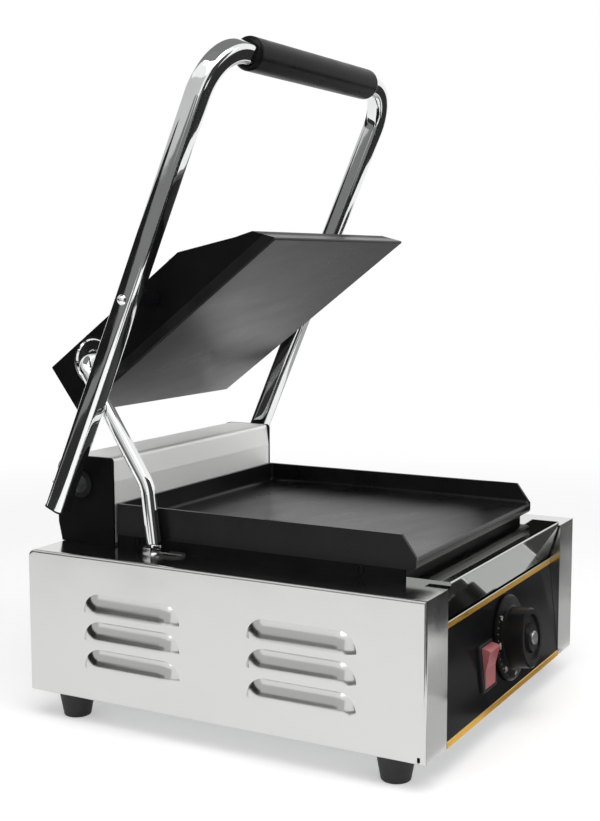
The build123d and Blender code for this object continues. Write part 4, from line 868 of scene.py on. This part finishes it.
paint = bpy.data.materials.new("floor_white")
paint.use_nodes = True
stage = Stage(paint.node_tree)
seen = stage.seen()
pale = stage.add("BsdfDiffuse", None, {"Color": floor_shade})
glow = stage.add("Emission", None, {"Color": near_glow, "Strength": seen})
near = stage.add("AddShader", None, {0: pale, 1: glow})
place = stage.add("TexCoord", output="Object")
distance = stage.add("VectorMath", {"operation": "LENGTH"}, {0: place}, output=1)
fade = {"Value": distance, "From Min": glow_start, "From Max": glow_end}
faded = stage.add("MapRange", {"interpolation_type": "SMOOTHSTEP"}, fade)
factor = stage.add("Math", {"operation": "MULTIPLY"}, {0: faded, 1: seen})
far = stage.add("Emission", None, {"Color": 1.0})
stage.finish("OutputMaterial", stage.add("MixShader", None, {0: factor, 1: near, 2: far}))

floor_mesh = bmesh.new()
bmesh.ops.create_grid(floor_mesh, x_segments=4, y_segments=4, size=floor_size / 2)
floor = stage_mesh("floor", floor_mesh, paint)
print("the floor is", [round(side, 1) for side in floor.dimensions], "m")

# %% [markdown]
# All round is plain white for the camera and for mirror images, and a dimmer white as a light, so
# that the lamps still model the shapes.

# %% White surroundings
room_light = 0.40
world = bpy.data.worlds.new("studio")
scene.world = world
world.use_nodes = True
stage = Stage(world.node_tree)
dim = stage.add("Background", None, {"Color": 1.0, "Strength": room_light})
white = stage.add("Background", None, {"Color": 1.0, "Strength": 1.0})
stage.finish("OutputWorld", stage.add("MixShader", None, {0: stage.seen(), 1: dim, 2: white}))
print("the world lights things with", room_light, "and looks white")

# %% [markdown]
# Two large soft lamps light the object at a plain level: one overhead and to the left, and a weaker
# one from the front. Small lamps would throw hard shadows, which the photograph doesn't have.

# %% Lamps
lamp_target = Vector((0, 0, 0.16))


def soft_lamp(name, place, size, watts):
    """A rectangular area lamp that faces the object's middle."""
    data = bpy.data.lights.new(name, "AREA")
    data.shape = "RECTANGLE"
    data.size, data.size_y = size
    data.energy = watts
    lamp = bpy.data.objects.new(name, data)
    lamp.location = place
    lamp.rotation_euler = (lamp_target - Vector(place)).to_track_quat("-Z", "Y").to_euler()
    scene.collection.objects.link(lamp)
    print(name, "has", watts, "W")


soft_lamp("overhead", (-0.55, -0.35, 1.55), (1.5, 1.1), 16.0)
soft_lamp("front_fill", (0.35, -1.7, 0.85), (1.2, 0.9), 6.0)

# %% [markdown]
# Bright metal only shows its form when it has something to mirror. Stripes could be painted on it,
# but they would stay put when the lid moves. So, as a product photographer does, black and grey
# cards stand or lie outside the picture, and one bright card. Each shines with one grey, on a scale
# where 1 is the white of the room. Only reflections see them: they cast no shadow and no camera
# sees them.

# %% Cards
cards = []
floor_lift = 2 * mm
under_lift = 1 * mm


def card(name, grey, corners):
    """A plain card with four corners, seen only by reflections."""
    paper = bpy.data.materials.new(name + "_grey")
    paper.use_nodes = True
    stage = Stage(paper.node_tree)
    stage.finish("OutputMaterial", stage.add("Emission", None, {"Color": grey}))
    mesh = bmesh.new()
    mesh.faces.new([mesh.verts.new(corner) for corner in corners])
    piece = stage_mesh(name, mesh, paper)
    piece.visible_camera = False
    piece.visible_diffuse = False
    piece.visible_shadow = False
    piece.visible_transmission = False
    cards.append(piece)


def level_card(name, grey, start, end, height=floor_lift):
    """A level card between two opposite corners, on the floor or at a height."""
    (left, front), (right, back) = start, end
    plan = [(left, front), (right, front), (right, back), (left, back)]
    card(name, grey, [(*corner, height) for corner in plan])


def standing_card(name, grey, start, end, height):
    """A card that stands on a line of the floor."""
    card(name, grey, [(*start, 0), (*end, 0), (*end, height), (*start, height)])


print("cards on the floor lie", floor_lift, "m above it")

# %% [markdown]
# The handle's arms mirror the floor to their left and behind them, and the bends mirror what stands
# far off. The photograph shows a near black, a grey and a bright stripe along each arm and pale
# grey in the bends, so a card lies or stands where each of them comes from. The largest lies a
# little lower than the rest, under their edges.

# %% Cards for the handle and the conduit
level_card("arm_dark", 0.03, (-1.70, 0.33), (-0.68, 1.40))
level_card("arm_grey", 0.20, (-12.0, -0.60), (-1.15, 12.0), under_lift)
level_card("arm_side", 0.20, (-1.15, -0.198), (-0.92, 0.05))
level_card("arm_corner", 0.20, (-1.15, -1.20), (-0.30, -0.20))
standing_card("arm_middle", 0.20, (-5.00, 1.00), (-2.95, 2.75), 0.75)
standing_card("arm_rear", 0.012, (-2.95, 2.10), (0.60, 2.90), 0.92)
level_card("arm_front", 0.03, (0.50, -1.80), (2.40, -0.505))
level_card("conduit_front", 0.03, (-0.29, -1.20), (0.168, -0.36))
standing_card("bend_left", 0.60, (-6.00, -1.50), (-4.60, 4.00), 4.00)
standing_card("bend_rear", 0.60, (-4.60, 4.00), (0.80, 5.00), 4.00)
level_card("bend_top", 0.22, (-0.60, -0.10), (1.60, 1.30), 1.5)
print(len(cards), "cards for the handle and the conduit")

# %% [markdown]
# The two front pillars and the visor between them are seen from above, so they mirror the floor
# before the grill: dark at the pillars' tops, paler towards their feet, and a pale patch with dark
# ends on the visor. A bright card to the right gives the raised plate's underside its soft sheen,
# and a small dark flag over the deck keeps the polished strip behind the visor black.

# %% Cards for the front, the visor and the plate
standing_card("front", 0.05, (-0.95, -0.95), (0.70, -1.45), 1.10)
level_card("front_low", 0.02, (0.17, -0.90), (0.50, -0.27))
level_card("pillar_top", 0.02, (0.50, -0.372), (1.30, -0.288))
level_card("pillar_foot", 0.62, (-0.13, -0.268), (0.018, -0.172))
level_card("pillar_left", 0.48, (0.02, -0.268), (0.38, -0.215))
level_card("pillar_right", 0.38, (0.382, -0.286), (0.90, -0.215))
level_card("visor_left", 0.03, (0.02, -0.213), (0.185, -0.172))
level_card("visor_middle", 0.55, (0.187, -0.213), (0.34, -0.172))
level_card("visor_right", 0.06, (0.342, -0.213), (0.80, -0.172))
level_card("plate_patch", 1.8, (0.42, 0.11), (0.53, 0.25))
level_card("plate_far", 0.40, (0.60, -0.16), (1.40, 0.35))
flag_x = 0.125
flag_side = [(-0.160, 0.125), (-0.130, 0.125), (-0.040, 0.190), (-0.070, 0.190)]
card("deck_flag", 0.01, [(flag_x, back, up) for back, up in flag_side])
print(len(cards), "cards in all")
